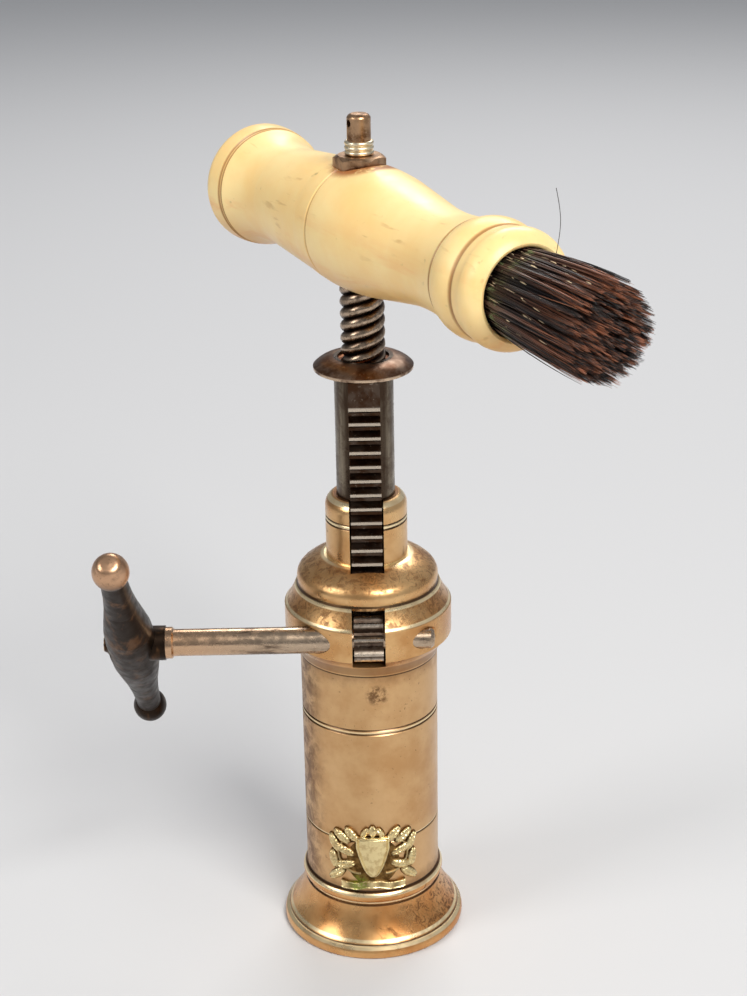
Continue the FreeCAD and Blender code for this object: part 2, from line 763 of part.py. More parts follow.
def guide_key():
    key = new_node("Part::Box", "guide_key")
    bind(key, "Length", 2)
    bind(key, "Width", 2.3)
    bind(key, "Height", "Size.GuideTop - Size.GuideBottom - 2")
    place(key, -1, 3.6, "Size.GuideBottom + 1")


# ---------------------------------------------------------------- spindle thread and its nut

STARTS = 3
THREAD_DEPTH = 0.75
THREAD_GAP = 0.22
THREAD_BOTTOM = 79.0
THREAD_END = 12.1
STUD_LENGTH = 7.6
PLUG_RADIUS = 3.1
SHANK_BOTTOM = "Size.GuideBottom - 5.1"
WORM_PIN_HEIGHT = "Size.GuideBottom - 2.5"
PIN_HOLE = "Size.PinRadius + Size.SeatGap"


def disc(radius, bottom, top):
    return Part.makeCylinder(radius, top - bottom, Vector(0, 0, bottom))


def worm_pin_hole():
    start = Vector(-6, 0, number(WORM_PIN_HEIGHT))
    return Part.makeCylinder(number(PIN_HOLE), 12, start, X_AXIS)


def lobed_section(extra, height):
    """Cross-section of the multi-start thread, a closed curve with one lobe for each start."""
    middle = dim("ThreadRadius") - THREAD_DEPTH / 2 + extra
    points = []
    steps = 16 * STARTS
    for step in range(steps):
        angle = 2 * math.pi * step / steps
        point = polar(middle + THREAD_DEPTH / 2 * math.cos(STARTS * angle), angle)
        points.append(point + Vector(0, 0, height))
    curve = Part.BSplineCurve()
    curve.interpolate(points, PeriodicFlag=True)
    return Part.Wire(curve.toShape())


def twisted_column(extra, bottom, top):
    """The lobed section carried up from bottom to top, turning right-handed one turn for each lead."""
    lead = dim("ThreadLead")
    spine = Part.Wire(Part.makeLine(Vector(0, 0, bottom), Vector(0, 0, top)))
    guide = Part.makeHelix(lead, top - bottom, 2 * dim("ThreadRadius"))
    guide.translate(Vector(0, 0, bottom))
    sweep = Part.BRepOffsetAPI.MakePipeShell(spine)
    sweep.setAuxiliarySpine(Part.Wire(guide.Edges), True, 0)
    section = lobed_section(extra, bottom)
    section.rotate(Vector(0, 0, 0), Z_AXIS, 360.0 * bottom / lead)
    sweep.add(section)
    sweep.build()
    sweep.makeSolid()
    return sweep.shape()


def turned(outline):
    """A solid turned about Z from straight (radius, height) points."""
    corners = [Vector(radius, 0, height) for radius, height in outline]
    return Part.Face(Part.makePolygon(corners + [corners[0]])).revolve(Vector(0, 0, 0), Z_AXIS, 360)


def spindle():
    """The screwed rod: shank in the steady bush, three-start thread, plug in the handle and top stud."""
    shank_bottom = number(SHANK_BOTTOM)
    collar = dim("GuideTop") + 0.4
    thread_top = dim("HandleHeight") - THREAD_END
    seat = dim("HandleHeight") + dim("NutSeat")
    core = turned([
        (0.0, shank_bottom),
        (dim("ShankRadius"), shank_bottom),
        (dim("ShankRadius"), collar),
        (3.4, collar),
        (3.85, collar + 0.5),
        (3.85, THREAD_BOTTOM + 1.0),
        (2.9, THREAD_BOTTOM + 2.0),
        (2.9, thread_top),
        (PLUG_RADIUS, thread_top),
        (PLUG_RADIUS, seat),
        (dim("StudRadius"), seat),
        (dim("StudRadius"), seat + STUD_LENGTH),
        (0.0, seat + STUD_LENGTH),
    ])
    rod = core.fuse(twisted_column(0.0, THREAD_BOTTOM, thread_top))
    rod = rod.cut(disc(WORM_TANG_RADIUS + dim("SeatGap"), shank_bottom - 1, shank_bottom + WORM_SOCKET))
    shaped("spindle", rod.cut(worm_pin_hole()))


def nut_bush():
    bottom = dim("NutSeatBottom") + 0.05
    top = dim("FlangeTop") - 0.6
    nut = disc(dim("NutSeatRadius") - dim("SeatGap"), bottom, top)
    shaped("nut_bush", nut.cut(twisted_column(THREAD_GAP, bottom - 1.0, top + 1.0)))


# ---------------------------------------------------------------- worm

WORM_TANG_RADIUS = 1.6
WORM_SOCKET = 8.8
TAPER = 6.5
POINT_RADIUS = 0.22
HEAD_RADIUS = 4.3


def coil(bottom, top, start_r, end_r):
    """A helical wire from bottom to top whose section grows evenly from start_r to end_r."""
    lead = dim("ThreadLead")
    helix = Part.makeHelix(lead, top - bottom, dim("CoilRadius"))
    helix.rotate(Vector(0, 0, 0), Z_AXIS, 360.0 * bottom / lead)
    helix.translate(Vector(0, 0, bottom))
    first, last = helix.Edges[0], helix.Edges[-1]
    sweep = Part.BRepOffsetAPI.MakePipeShell(Part.Wire(helix.Edges))
    sweep.setFrenetMode(True)
    ends = ((first, first.FirstParameter, start_r), (last, last.LastParameter, end_r))
    for edge, parameter, radius in ends:
        circle = Part.makeCircle(radius, edge.valueAt(parameter), edge.tangentAt(parameter))
        sweep.add(Part.Wire(circle))
    sweep.build()
    sweep.makeSolid()
    return sweep.shape()


def worm():
    """A right-handed wire worm with a ground point, a round head and a tang that enters the spindle."""
    tip, top, wire = dim("WormTip"), dim("CoilTop"), dim("WireRadius")
    joint = polar(dim("CoilRadius"), 2 * math.pi * (tip + TAPER) / dim("ThreadLead"))
    knuckle = Part.makeSphere(wire, joint + Vector(0, 0, tip + TAPER))
    shank_bottom = number(SHANK_BOTTOM)
    head = disc(HEAD_RADIUS, top - 1.8, shank_bottom - 0.1)
    tang = disc(WORM_TANG_RADIUS, shank_bottom - 1.0, shank_bottom + WORM_SOCKET - 1.0)
    wire_coil = coil(tip + TAPER, top, wire, wire)
    pointed = wire_coil.fuse([coil(tip, tip + TAPER, POINT_RADIUS, wire), knuckle])
    shaped("worm", pointed.fuse(head.fuse(tang)).cut(worm_pin_hole()))


def retaining_collar():
    body = new_body("retaining_collar")
    ring(body, HEAD_RADIUS, "Size.ShankRadius + Size.SeatGap", SHANK_BOTTOM, "Size.GuideBottom - 0.35")
    hole = new_sketch(body, "YZ_Plane")
    draw_circle(hole, 0, WORM_PIN_HEIGHT, PIN_HOLE)
    pocket(body, hole, symmetric=True)


def worm_pin():
    nodes.append(cylinder("worm_pin", "Size.PinRadius", 8.2, X_AXIS, x=-4.1, z=WORM_PIN_HEIGHT))


# ---------------------------------------------------------------- bone handle and brush
# These are turned along the handle, so their outlines run from the plain end to the brush end.

PLUG_BOTTOM = 47.5
PLUG_TOP = 52.0
handle_turn = Rotation(Z_AXIS, dim("HandleYaw")).multiply(Rotation(Y_AXIS, 90))
HANDLE_PLACE = {"z": "Size.HandleHeight", "turn": handle_turn}


def bone_handle():
    body = new_body("bone_handle", **HANDLE_PLACE)
    revolve(body, [
        (0, -47.0),
        (9.8, -46.7),
        (13.0, -43.6, -0.9),
        (12.75, -39.8, -0.08),
        (12.35, -39.5),
        (12.6, -39.15),
        (12.2, -38.8),
        (12.5, -38.4),
        (10.6, -27.0, 0.62),
        (12.3, -6.0),
        (12.8, -0.5, -0.08),
        (12.4, -0.15),
        (12.4, 0.15),
        (12.9, 0.5),
        (12.4, 12.0, -0.25),
        (10.1, 27.0),
        (10.55, 43.2, 0.6),
        (10.4, 43.6),
        (10.8, 44.0),
        (11.1, 50.9, -0.8),
        (10.8, 51.4),
        (11.0, 51.8),
        (11.45, 54.6, 0.1),
        ("Size.BrushSocketRadius + 0.8", "Size.HandleEnd", -0.8),
        ("Size.BrushSocketRadius", "Size.HandleEnd - 0.6", -0.15),
        ("Size.BrushSocketRadius", PLUG_BOTTOM),
        (0, PLUG_BOTTOM),
    ])
    stud_hole = new_sketch(body, "YZ_Plane")
    draw_circle(stud_hole, 0, 0, "%s + Size.SeatGap" % PLUG_RADIUS)
    pocket(body, stud_hole, symmetric=True)
    thread_room = new_sketch(body, "YZ_Plane", offset=THREAD_END)
    draw_circle(thread_room, 0, 0, "Size.ThreadRadius + 0.4")
    pocket(body, thread_room, along_normal=True)
    nut_seat = new_sketch(body, "YZ_Plane", offset="-Size.NutSeat")
    draw_circle(nut_seat, 0, 0, 5.6)
    pocket(body, nut_seat)


def brush_plug():
    ring_radius = "Size.BrushSocketRadius - Size.SeatGap"
    revolve(new_body("brush_plug", **HANDLE_PLACE), [
        (0, PLUG_BOTTOM), (ring_radius, PLUG_BOTTOM), (ring_radius, PLUG_TOP), (0, PLUG_TOP),
    ])


def brush_hair():
    """The bundle of bristles as one closed solid."""
    revolve(new_body("brush_hair", **HANDLE_PLACE), [
        (0, PLUG_TOP + 0.05),
        ("Size.BrushSocketRadius - 0.8", PLUG_TOP + 0.05),
        ("Size.BrushSocketRadius - 0.6", "Size.HandleEnd"),
        (7.6, 84.0, -0.3),
        (5.8, 88.0, -0.4),
        (0, 89.5),
    ])


# ---------------------------------------------------------------- top fittings

NUT_SIDES = 6
NUT_CORNER = 5.4
NUT_HEIGHT = 2.5
NUT_TURN = 8.0
NUT_BOTTOM = "Size.HandleHeight + Size.NutSeat"
NUT_TOP = "%s + %s" % (NUT_BOTTOM, NUT_HEIGHT)
RINGS = 3
RING_RISE = 0.96
POST_BOTTOM = "%s + %s" % (NUT_TOP, RINGS * RING_RISE)
POST_TOP = 185.4
RING_HOLE_HEIGHT = 183.5


def hex_nut():
    """The hexagonal nut that clamps the handle, its top corners turned off at a slant."""
    body = new_body("hex_nut", z=NUT_BOTTOM, turn=Rotation(Z_AXIS, -NUT_TURN))
    blank = new_sketch(body, "XY_Plane")
    corners = [polar(NUT_CORNER, 2 * math.pi * side / NUT_SIDES) for side in range(NUT_SIDES)]
    draw(blank, [(corner.x, corner.y) for corner in corners])
    pad(body, blank, NUT_HEIGHT)
    slant = [(4.3, NUT_HEIGHT), (NUT_CORNER + 0.5, NUT_HEIGHT), (NUT_CORNER + 0.5, NUT_HEIGHT - 1.0)]
    revolve(body, slant, kind="PartDesign::Groove")
    bore = new_sketch(body, "XY_Plane")
    draw_circle(bore, 0, 0, "Size.StudRadius + Size.SeatGap")
    pocket(body, bore, symmetric=True)


def ring_nut():
    """A small round nut with rounded rings, between the hexagonal nut and the post."""
    bore = "Size.StudRadius + Size.SeatGap"
    outline = [(bore, 0)]
    for step in range(RINGS):
        outline.append((2.6, step * RING_RISE + 0.08))
        outline.append((2.6, (step + 1) * RING_RISE, -0.35))
    outline.append((bore, RINGS * RING_RISE))
    revolve(new_body("ring_nut", z=NUT_TOP), outline)


def finial_post():
    """The top post, bored from below for the stud, domed, and with a cross hole for a ring."""
    body = new_body("finial_post", turn=Rotation(Z_AXIS, dim("HandleYaw")))
    stud_top = "%s + %s" % (NUT_BOTTOM, STUD_LENGTH + 0.05)
    bore = "Size.StudRadius + Size.SeatGap"
    revolve(body, [
        (0, stud_top),
        (bore, stud_top),
        (bore, POST_BOTTOM),
        (2.4, POST_BOTTOM),
        (2.4, POST_TOP - 0.9),
        (1.6, POST_TOP - 0.15, -0.12),
        (0, POST_TOP),
    ])
    hole = new_sketch(body, "XZ_Plane")
    draw_circle(hole, 0, RING_HOLE_HEIGHT, "Size.PinRadius")
    pocket(body, hole, symmetric=True)


# ---------------------------------------------------------------- the whole corkscrew

for make in (
    barrel_tube, base_foot, pinion_housing, shoulder_cap, guide_neck, shield_plate, plate_pins,
    rack_tube, rack_bar, rack_rivets, rack_flange, nut_bush, stop_ring,
    pinion_gear, gear_pin, pinion_shaft, side_grip, grip_rivet,
    guide_bush, guide_key,
    spindle, worm, retaining_collar, worm_pin,
    bone_handle, brush_plug, brush_hair, hex_nut, ring_nut, finial_post,
):
    make()
doc.recompute()

for thing in doc.Objects:
    if "Invalid" in thing.State or "Error" in thing.State:
        raise RuntimeError("%s is in a bad state: %s" % (thing.Label, thing.State))
for piece in nodes:
    if piece.Shape.isNull() or not piece.Shape.isValid() or not piece.Shape.Solids:
        raise RuntimeError("%s has no valid solid" % piece.Label)

os.makedirs("parts", exist_ok=True)
for piece in nodes:
    piece.Shape.exportStep("parts/%s.step" % piece.Label)
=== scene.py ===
import json
import math

import bpy
import numpy as np
from mathutils import Matrix, Vector

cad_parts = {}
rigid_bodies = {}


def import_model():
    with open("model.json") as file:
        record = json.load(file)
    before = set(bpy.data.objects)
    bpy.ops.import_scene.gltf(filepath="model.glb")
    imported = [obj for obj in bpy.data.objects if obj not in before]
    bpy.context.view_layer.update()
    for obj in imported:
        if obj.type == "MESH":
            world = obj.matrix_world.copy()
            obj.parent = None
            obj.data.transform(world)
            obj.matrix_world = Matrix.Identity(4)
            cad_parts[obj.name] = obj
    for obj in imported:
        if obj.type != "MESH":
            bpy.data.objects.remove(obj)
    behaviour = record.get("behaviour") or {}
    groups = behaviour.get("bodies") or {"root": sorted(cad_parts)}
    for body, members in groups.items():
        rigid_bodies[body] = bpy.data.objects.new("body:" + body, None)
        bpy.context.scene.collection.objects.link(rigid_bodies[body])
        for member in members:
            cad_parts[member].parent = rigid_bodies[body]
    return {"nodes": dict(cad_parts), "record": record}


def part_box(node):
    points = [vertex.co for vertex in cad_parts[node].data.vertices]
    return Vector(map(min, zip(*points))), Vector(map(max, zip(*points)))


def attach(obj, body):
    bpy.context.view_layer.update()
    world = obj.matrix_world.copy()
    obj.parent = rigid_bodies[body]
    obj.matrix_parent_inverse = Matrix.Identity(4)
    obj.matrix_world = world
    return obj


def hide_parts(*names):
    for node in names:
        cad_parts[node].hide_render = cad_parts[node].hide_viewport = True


# Looks for the side-handle rack corkscrew. Metres, +Z up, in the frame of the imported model.

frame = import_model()
for leftover in [o for o in bpy.data.objects if o.name in ("Cube", "Light", "Camera")]:
    bpy.data.objects.remove(leftover)
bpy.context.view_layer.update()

MM = 0.001
SEED = 7
rng = np.random.default_rng(SEED)


# ---------------------------------------------------------------- finishes


class Finish:
    """One node material on a Principled shader, with short calls for the nodes it needs."""

    def __init__(self, name, metallic=0.0, specular=0.5):
        self.material = bpy.data.materials.new(name)
        self.material.use_nodes = True
        self.tree = self.material.node_tree
        self.shader = self.tree.nodes["Principled BSDF"]
        self.shader.inputs["Metallic"].default_value = metallic
        self.shader.inputs["Specular IOR Level"].default_value = specular
        self.place = self.node("ShaderNodeTexCoord").outputs["Object"]
        split = self.node("ShaderNodeSeparateXYZ")
        self.join(self.place, split.inputs[0])
        self.x, self.y, self.z = split.outputs

    def node(self, kind, **settings):
        made = self.tree.nodes.new(kind)
        for key, value in settings.items():
            setattr(made, key, value)
        return made

    def join(self, source, target):
        self.tree.links.new(source, target)

    def feed(self, socket, value):
        """Links value to socket if it is an output, and sets it as a constant if not."""
        if isinstance(value, bpy.types.NodeSocket):
            self.join(value, socket)
        elif isinstance(value, (tuple, list)) and len(value) == 3 and socket.type == "RGBA":
            socket.default_value = (*value, 1.0)
        else:
            socket.default_value = value

    def stretched(self, scale):
        """The object's coordinates scaled by a different amount along each axis."""
        mapping = self.node("ShaderNodeMapping")
        self.join(self.place, mapping.inputs["Vector"])
        mapping.inputs["Scale"].default_value = scale
        return mapping.outputs[0]

    def noise(self, size_mm, detail=4.0, roughness=0.55, place=None, distortion=0.0):
        """Noise from 0 to 1 whose features are about size_mm across."""
        made = self.node("ShaderNodeTexNoise")
        self.join(place or self.place, made.inputs["Vector"])
        made.inputs["Scale"].default_value = 1.0 / (size_mm * MM)
        made.inputs["Detail"].default_value = detail
        made.inputs["Roughness"].default_value = roughness
        made.inputs["Distortion"].default_value = distortion
        return made.outputs["Fac"]

    def span(self, value, low, high, to_low=0.0, to_high=1.0):
        """Smooth step: to_low where value is under low, to_high where it is over high."""
        made = self.node("ShaderNodeMapRange", interpolation_type="SMOOTHSTEP")
        self.feed(made.inputs["Value"], value)
        made.inputs["From Min"].default_value = low
        made.inputs["From Max"].default_value = high
        made.inputs["To Min"].default_value = to_low
        made.inputs["To Max"].default_value = to_high
        return made.outputs[0]

    def math(self, operation, a, b=0.0):
        made = self.node("ShaderNodeMath", operation=operation)
        self.feed(made.inputs[0], a)
        self.feed(made.inputs[1], b)
        return made.outputs[0]

    def times(self, *values):
        total = values[0]
        for value in values[1:]:
            total = self.math("MULTIPLY", total, value)
        return total

    def most(self, *values):
        total = values[0]
        for value in values[1:]:
            total = self.math("MAXIMUM", total, value)
        return total

    def near(self, value, centre, half_width, soft):
        """1 within half_width of centre, fading to 0 over soft."""
        off = self.math("ABSOLUTE", self.math("SUBTRACT", value, centre))
        return self.span(off, half_width, half_width + soft, 1.0, 0.0)

    def spot(self, centre, radius, soft):
        """1 within radius of a point of the object, fading to 0 over soft."""
        made = self.node("ShaderNodeVectorMath", operation="DISTANCE")
        self.join(self.place, made.inputs[0])
        made.inputs[1].default_value = centre
        return self.span(made.outputs["Value"], radius, radius + soft, 1.0, 0.0)

    def from_axis(self, a, b):
        """Distance from an axis, from the two coordinates across it."""
        flat = self.node("ShaderNodeCombineXYZ")
        self.join(a, flat.inputs[0])
        self.join(b, flat.inputs[1])
        length = self.node("ShaderNodeVectorMath", operation="LENGTH")
        self.join(flat.outputs[0], length.inputs[0])
        return length.outputs["Value"]

    def mix(self, amount, a, b):
        """Colour a where amount is 0, colour b where it is 1."""
        made = self.node("ShaderNodeMix", data_type="RGBA")
        self.feed(made.inputs[0], amount)
        self.feed(made.inputs[6], a)
        self.feed(made.inputs[7], b)
        return made.outputs[2]

    def blend(self, amount, a, b):
        made = self.node("ShaderNodeMix", data_type="FLOAT")
        self.feed(made.inputs[0], amount)
        self.feed(made.inputs[2], a)
        self.feed(made.inputs[3], b)
        return made.outputs[0]

    def bump(self, height, strength, depth_mm, under=None):
        made = self.node("ShaderNodeBump")
        self.join(height, made.inputs["Height"])
        made.inputs["Strength"].default_value = strength
        made.inputs["Distance"].default_value = depth_mm * MM
        if under is not None:
            self.join(under, made.inputs["Normal"])
        return made.outputs[0]

    def finish(self, colour, roughness, normal=None):
        self.feed(self.shader.inputs["Base Color"], colour)
        self.feed(self.shader.inputs["Roughness"], roughness)
        if normal is not None:
            self.join(normal, self.shader.inputs["Normal"])
        return self.material


def rgb(red, green, blue):
    """Linear colour from an 8-bit display colour."""
    out = []
    for channel in (red, green, blue):
        value = channel / 255
        out.append(value / 12.92 if value <= 0.04045 else ((value + 0.055) / 1.055) ** 2.4)
    return tuple(out)


TURNING_MARKS = (25.0, 25.0, 2600.0)


def old_brass(name, light, warm, stain, stain_size, stain_at, groove_heights=(), edge_heights=(),
              freckles=0.6, extra_stain_and_shade=None, rough=(0.26, 0.42)):
    """Aged turned brass: two warm tones, stains past stain_at of the noise, extra marks that add painted
    shade on some parts, dark grooves and a painted highlight along the edges.
    """
    made = Finish(name, metallic=0.92, specular=0.6)
    made.shader.inputs["Coat Weight"].default_value = 0.3
    made.shader.inputs["Coat Roughness"].default_value = 0.22
    tone = made.span(made.noise(14.0, 5.0, 0.6), 0.35, 0.68)
    colour = made.mix(tone, light, warm)
    stains_and_shade = made.span(made.noise(stain_size, 9.0, 0.68, distortion=0.4), stain_at, stain_at + 0.12)
    if extra_stain_and_shade is not None:
        # The extra marks hold painted shade for the barrel and the housing, mixed with the real stains into
        # the stain colour.
        stains_and_shade = made.most(stains_and_shade, extra_stain_and_shade(made))
    colour = made.mix(made.times(stains_and_shade, 0.85), colour, stain)
    dots = made.times(
        made.span(made.noise(0.55, 2.0, 0.5), 0.66, 0.74),
        made.span(made.noise(9.0, 3.0, 0.6), 0.45, 0.65),
        freckles,
    )
    colour = made.mix(dots, colour, stain)
    lines = None
    for height, half_width in groove_heights:
        line = made.near(made.z, height * MM, half_width * MM, 0.22 * MM)
        lines = line if lines is None else made.most(lines, line)
    if lines is not None:
        colour = made.mix(made.times(lines, 0.88), colour, rgb(58, 34, 16))
    for height, half_width in edge_heights:
        # Pale lines along the turned edges are painted highlight, broken up by noise like wear.
        rubbed_with_painted_light = made.times(
            made.near(made.z, height * MM, half_width * MM, 0.2 * MM),
            made.span(made.noise(4.0, 3.0, 0.5), 0.25, 0.5, 0.5, 0.95),
        )
        colour = made.mix(rubbed_with_painted_light, colour, rgb(248, 226, 180))
    smear = made.noise(5.0, 6.0, 0.6)
    roughness = made.blend(stains_and_shade, made.span(smear, 0.3, 0.7, *rough), 0.55)
    marks = made.noise(1.0, 3.0, 0.5, place=made.stretched(TURNING_MARKS))
    normal = made.bump(marks, 0.10, 0.01)
    normal = made.bump(made.noise(3.2, 5.0, 0.55), 0.25, 0.05, normal)
    normal = made.bump(stains_and_shade, 0.25, 0.02, normal)
    return made.finish(colour, roughness, normal)


def old_steel(name, base, brown, bright, brown_at=0.5, bright_mask=None, rough=(0.28, 0.5), grain=(1, 1, 1)):
    """Worn dark steel with brown film and, where bright_mask says, a pale colour: painted highlight on the
    rack, pinion and thread crests, rubbed metal on the flange rim.
    """
    made = Finish(name, metallic=1.0)
    film = made.span(made.noise(4.0, 8.0, 0.65, distortion=0.3), brown_at - 0.08, brown_at + 0.12)
    colour = made.mix(film, base, brown)
    speckle = made.span(made.noise(0.8, 4.0, 0.6), 0.6, 0.75)
    colour = made.mix(made.times(speckle, 0.35), colour, bright)
    smear = made.noise(2.5, 6.0, 0.6)
    roughness = made.span(smear, 0.3, 0.7, *rough)
    if bright_mask is not None:
        # The bright mask paints highlights on crests and marks rubbed metal on rims.
        worn = bright_mask(made)
        colour = made.mix(worn, colour, bright)
        roughness = made.blend(worn, roughness, 0.24)
    place = made.stretched(grain)
    normal = made.bump(made.noise(0.7, 4.0, 0.55, place=place), 0.22, 0.02)
    normal = made.bump(made.noise(3.0, 4.0, 0.5), 0.2, 0.06, normal)
    return made.finish(colour, roughness, normal)


def low(node):
    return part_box(node)[0]


def high(node):
    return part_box(node)[1]


BLANK_ABOVE_TEETH = 5.6 * MM
barrel_r = high("barrel_tube").x
housing_low = low("pinion_housing").z
foot_high = high("base_foot").z
cap_high = high("shoulder_cap").z


def barrel_brass():
    grooves = [(27.0, 0.06), (54.0, 0.1), (55.0, 0.1), (housing_low / MM, 0.25), (foot_high / MM, 0.3)]
    edges = [(27.35, 0.02), (54.5, 0.05)]

    def ends(made):
        """Painted shade under the housing and just above the foot, brown tarnish deepened with painted shade
        down the left side, and a worn patch in front.
        """
        ragged = made.times(made.noise(2.5, 6.0, 0.65), 5.0 * MM)
        # Painted shade on the barrel under the housing.
        top = made.span(made.math("ADD", made.z, ragged), housing_low - 1 * MM, housing_low + 4 * MM)
        # Painted shade just above the foot.
        from_foot = made.math("SUBTRACT", made.z, ragged)
        foot = made.span(from_foot, foot_high - 3 * MM, foot_high + 1 * MM, 1.0, 0.0)
        # Brown tarnish and painted shade down the left side.
        left = made.times(
            made.span(made.math("ADD", made.x, ragged), -11.5 * MM, -7.0 * MM, 1.0, 0.0),
            made.span(made.noise(3.5, 7.0, 0.7, distortion=0.6), 0.36, 0.62),
        )
        patch = made.times(
            made.spot((1.6 * MM, -barrel_r, 63.6 * MM), 1.4 * MM, 1.6 * MM),
            made.span(made.noise(1.1, 5.0, 0.7), 0.4, 0.6),
        )
        return made.most(made.times(made.most(top, foot), 0.6), made.times(left, 0.9), patch)

    return old_brass("barrel_brass", rgb(216, 176, 126), rgb(196, 150, 98), rgb(106, 70, 38), 6.0, 0.64,
                     grooves, edges, extra_stain_and_shade=ends, rough=(0.30, 0.44))


def housing_brass():
    grooves = [(84.45, 0.16), (99.1, 0.12), (100.0, 0.12)]
    edges = [(80.1, 0.18), (83.9, 0.2), (cap_high / MM, 0.12), (99.55, 0.2), (104.2, 0.3)]

    def ledges(made):
        """Brown mottling on the sloping ledge and the cap's top, painted shade in the recess under the wall
        and a painted shadow round the bore where the tube enters.
        """
        mottle = made.span(made.noise(1.6, 8.0, 0.7, distortion=0.8), 0.45, 0.6)
        ledge = made.near(made.z, 82.0 * MM, 1.5 * MM, 0.5 * MM)
        top = made.near(made.z, 89.0 * MM, 1.3 * MM, 0.9 * MM)
        upper = made.times(mottle, made.most(ledge, top), 0.8)
        # Painted shade in the recess under the wall.
        under = made.times(made.near(made.z, housing_low + 1.4 * MM, 0.9 * MM, 0.5 * MM), 0.6)
        # Painted shadow round the bore, where the tube enters the neck.
        bore = made.times(
            made.span(made.from_axis(made.x, made.y), 6.9 * MM, 7.2 * MM, 1.0, 0.0),
            made.span(made.z, 100 * MM, 101 * MM),
        )
        return made.most(upper, under, bore)

    return old_brass("housing_brass", rgb(226, 184, 128), rgb(196, 142, 84), rgb(100, 60, 28), 5.0, 0.62,
                     grooves, edges, extra_stain_and_shade=ledges, rough=(0.24, 0.38))


def foot_brass():
    grooves = [(3.0, 0.12), (10.9, 0.12), (foot_high / MM, 0.12)]
    edges = [(2.5, 0.28), (3.7, 0.2), (11.6, 0.2), (foot_high / MM - 0.6, 0.25)]

    def mottled_side(made):
        mottle = made.span(made.noise(1.5, 8.0, 0.72, distortion=0.9), 0.46, 0.6)
        side = made.span(made.x, 3.0 * MM, 9.0 * MM)
        flare = made.near(made.z, 6.5 * MM, 3.0 * MM, 1.2 * MM)
        return made.times(mottle, side, flare)

    return old_brass("foot_brass", rgb(226, 176, 116), rgb(200, 136, 74), rgb(92, 56, 24), 6.5, 0.60,
                     grooves, edges, extra_stain_and_shade=mottled_side, rough=(0.24, 0.38))


def plate_brass():
    """Pale cast brass, dark in the hollows, with a touch of green on the lower left."""
    made = Finish("plate_brass", metallic=1.0)
    raised = made.span(made.from_axis(made.x, made.y), barrel_r + 0.3 * MM, barrel_r + 0.8 * MM)
    colour = made.mix(raised, rgb(92, 66, 34), rgb(238, 218, 164))
    worn = made.span(made.noise(1.4, 6.0, 0.6), 0.42, 0.62)
    colour = made.mix(made.times(worn, 0.45), colour, rgb(176, 138, 84))
    green = made.times(
        made.spot((-3.4 * MM, -15.5 * MM, 16.6 * MM), 1.0 * MM, 2.0 * MM),
        made.span(made.noise(0.7, 5.0, 0.6), 0.35, 0.55),
    )
    colour = made.mix(made.times(green, 0.8), colour, rgb(120, 140, 48))
    roughness = made.blend(raised, 0.55, 0.3)
    normal = made.bump(made.noise(0.45, 4.0, 0.6), 0.35, 0.04)
    return made.finish(colour, roughness, normal)


def rack_steel():
    """Dark rack and pinion teeth, with a painted highlight along the crests."""
    crest = low("rack_bar").y
    top_crest = high("rack_bar").z - BLANK_ABOVE_TEETH
    pinion_axis = (low("pinion_gear") + high("pinion_gear")) / 2

    def highlit_crests(made):
        # Painted highlight where light catches the rack's tooth crests and the pinion's tips.
        rack = made.times(
            made.span(made.y, crest + 0.05 * MM, crest + 0.3 * MM, 0.75, 0.0),
            made.span(made.z, top_crest, top_crest + 0.4 * MM, 1.0, 0.0),
            made.span(made.z, high("pinion_gear").z, high("pinion_gear").z + 1 * MM),
        )
        reach = made.from_axis(
            made.math("SUBTRACT", made.y, pinion_axis.y),
            made.math("SUBTRACT", made.z, pinion_axis.z),
        )
        pinion = made.times(
            made.span(reach, 3.9 * MM, 4.75 * MM, 0.1, 0.85),
            made.span(made.z, 82 * MM, 83 * MM, 1.0, 0.0),
            made.span(made.noise(1.0, 4.0, 0.6), 0.3, 0.55, 0.4, 1.0),
        )
        return made.most(rack, pinion)

    return old_steel("rack_steel", rgb(86, 72, 62), rgb(66, 44, 30), rgb(214, 200, 182), 0.45, highlit_crests,
                     rough=(0.3, 0.5))


def tube_steel():
    """Browned tube with faint lengthwise polish, with painted shade beside the rack and just under the
    flange.
    """
    made = Finish("tube_steel", metallic=1.0)
    along = made.stretched((1, 1, 0.08))
    streaks = made.span(made.noise(1.6, 6.0, 0.6, place=along), 0.36, 0.64)
    colour = made.mix(streaks, rgb(92, 80, 66), rgb(138, 126, 108))
    film = made.span(made.noise(5.0, 8.0, 0.68, distortion=0.4), 0.46, 0.62)
    colour = made.mix(made.times(film, 0.7), colour, rgb(72, 52, 38))
    # Painted shade beside the rack and under the flange.
    beside_rack = made.times(
        made.near(made.x, 0.0, high("rack_bar").x + 0.6 * MM, 1.1 * MM),
        made.span(made.y, -3 * MM, 0.0, 1.0, 0.0),
    )
    below_flange = made.span(made.z, low("rack_flange").z - 8 * MM, low("rack_flange").z)
    painted_shade = made.most(made.times(beside_rack, 0.75), made.times(below_flange, 0.55))
    colour = made.mix(painted_shade, colour, rgb(54, 38, 28))
    rubs = made.span(made.noise(0.7, 4.0, 0.6, place=along), 0.62, 0.76)
    colour = made.mix(made.times(rubs, 0.4), colour, rgb(190, 178, 158))
    roughness = made.span(made.noise(2.5, 6.0, 0.6), 0.3, 0.7, 0.22, 0.4)
    normal = made.bump(made.noise(0.7, 4.0, 0.55, place=along), 0.22, 0.02)
    normal = made.bump(made.noise(3.0, 4.0, 0.5), 0.2, 0.06, normal)
    return made.finish(colour, roughness, normal)


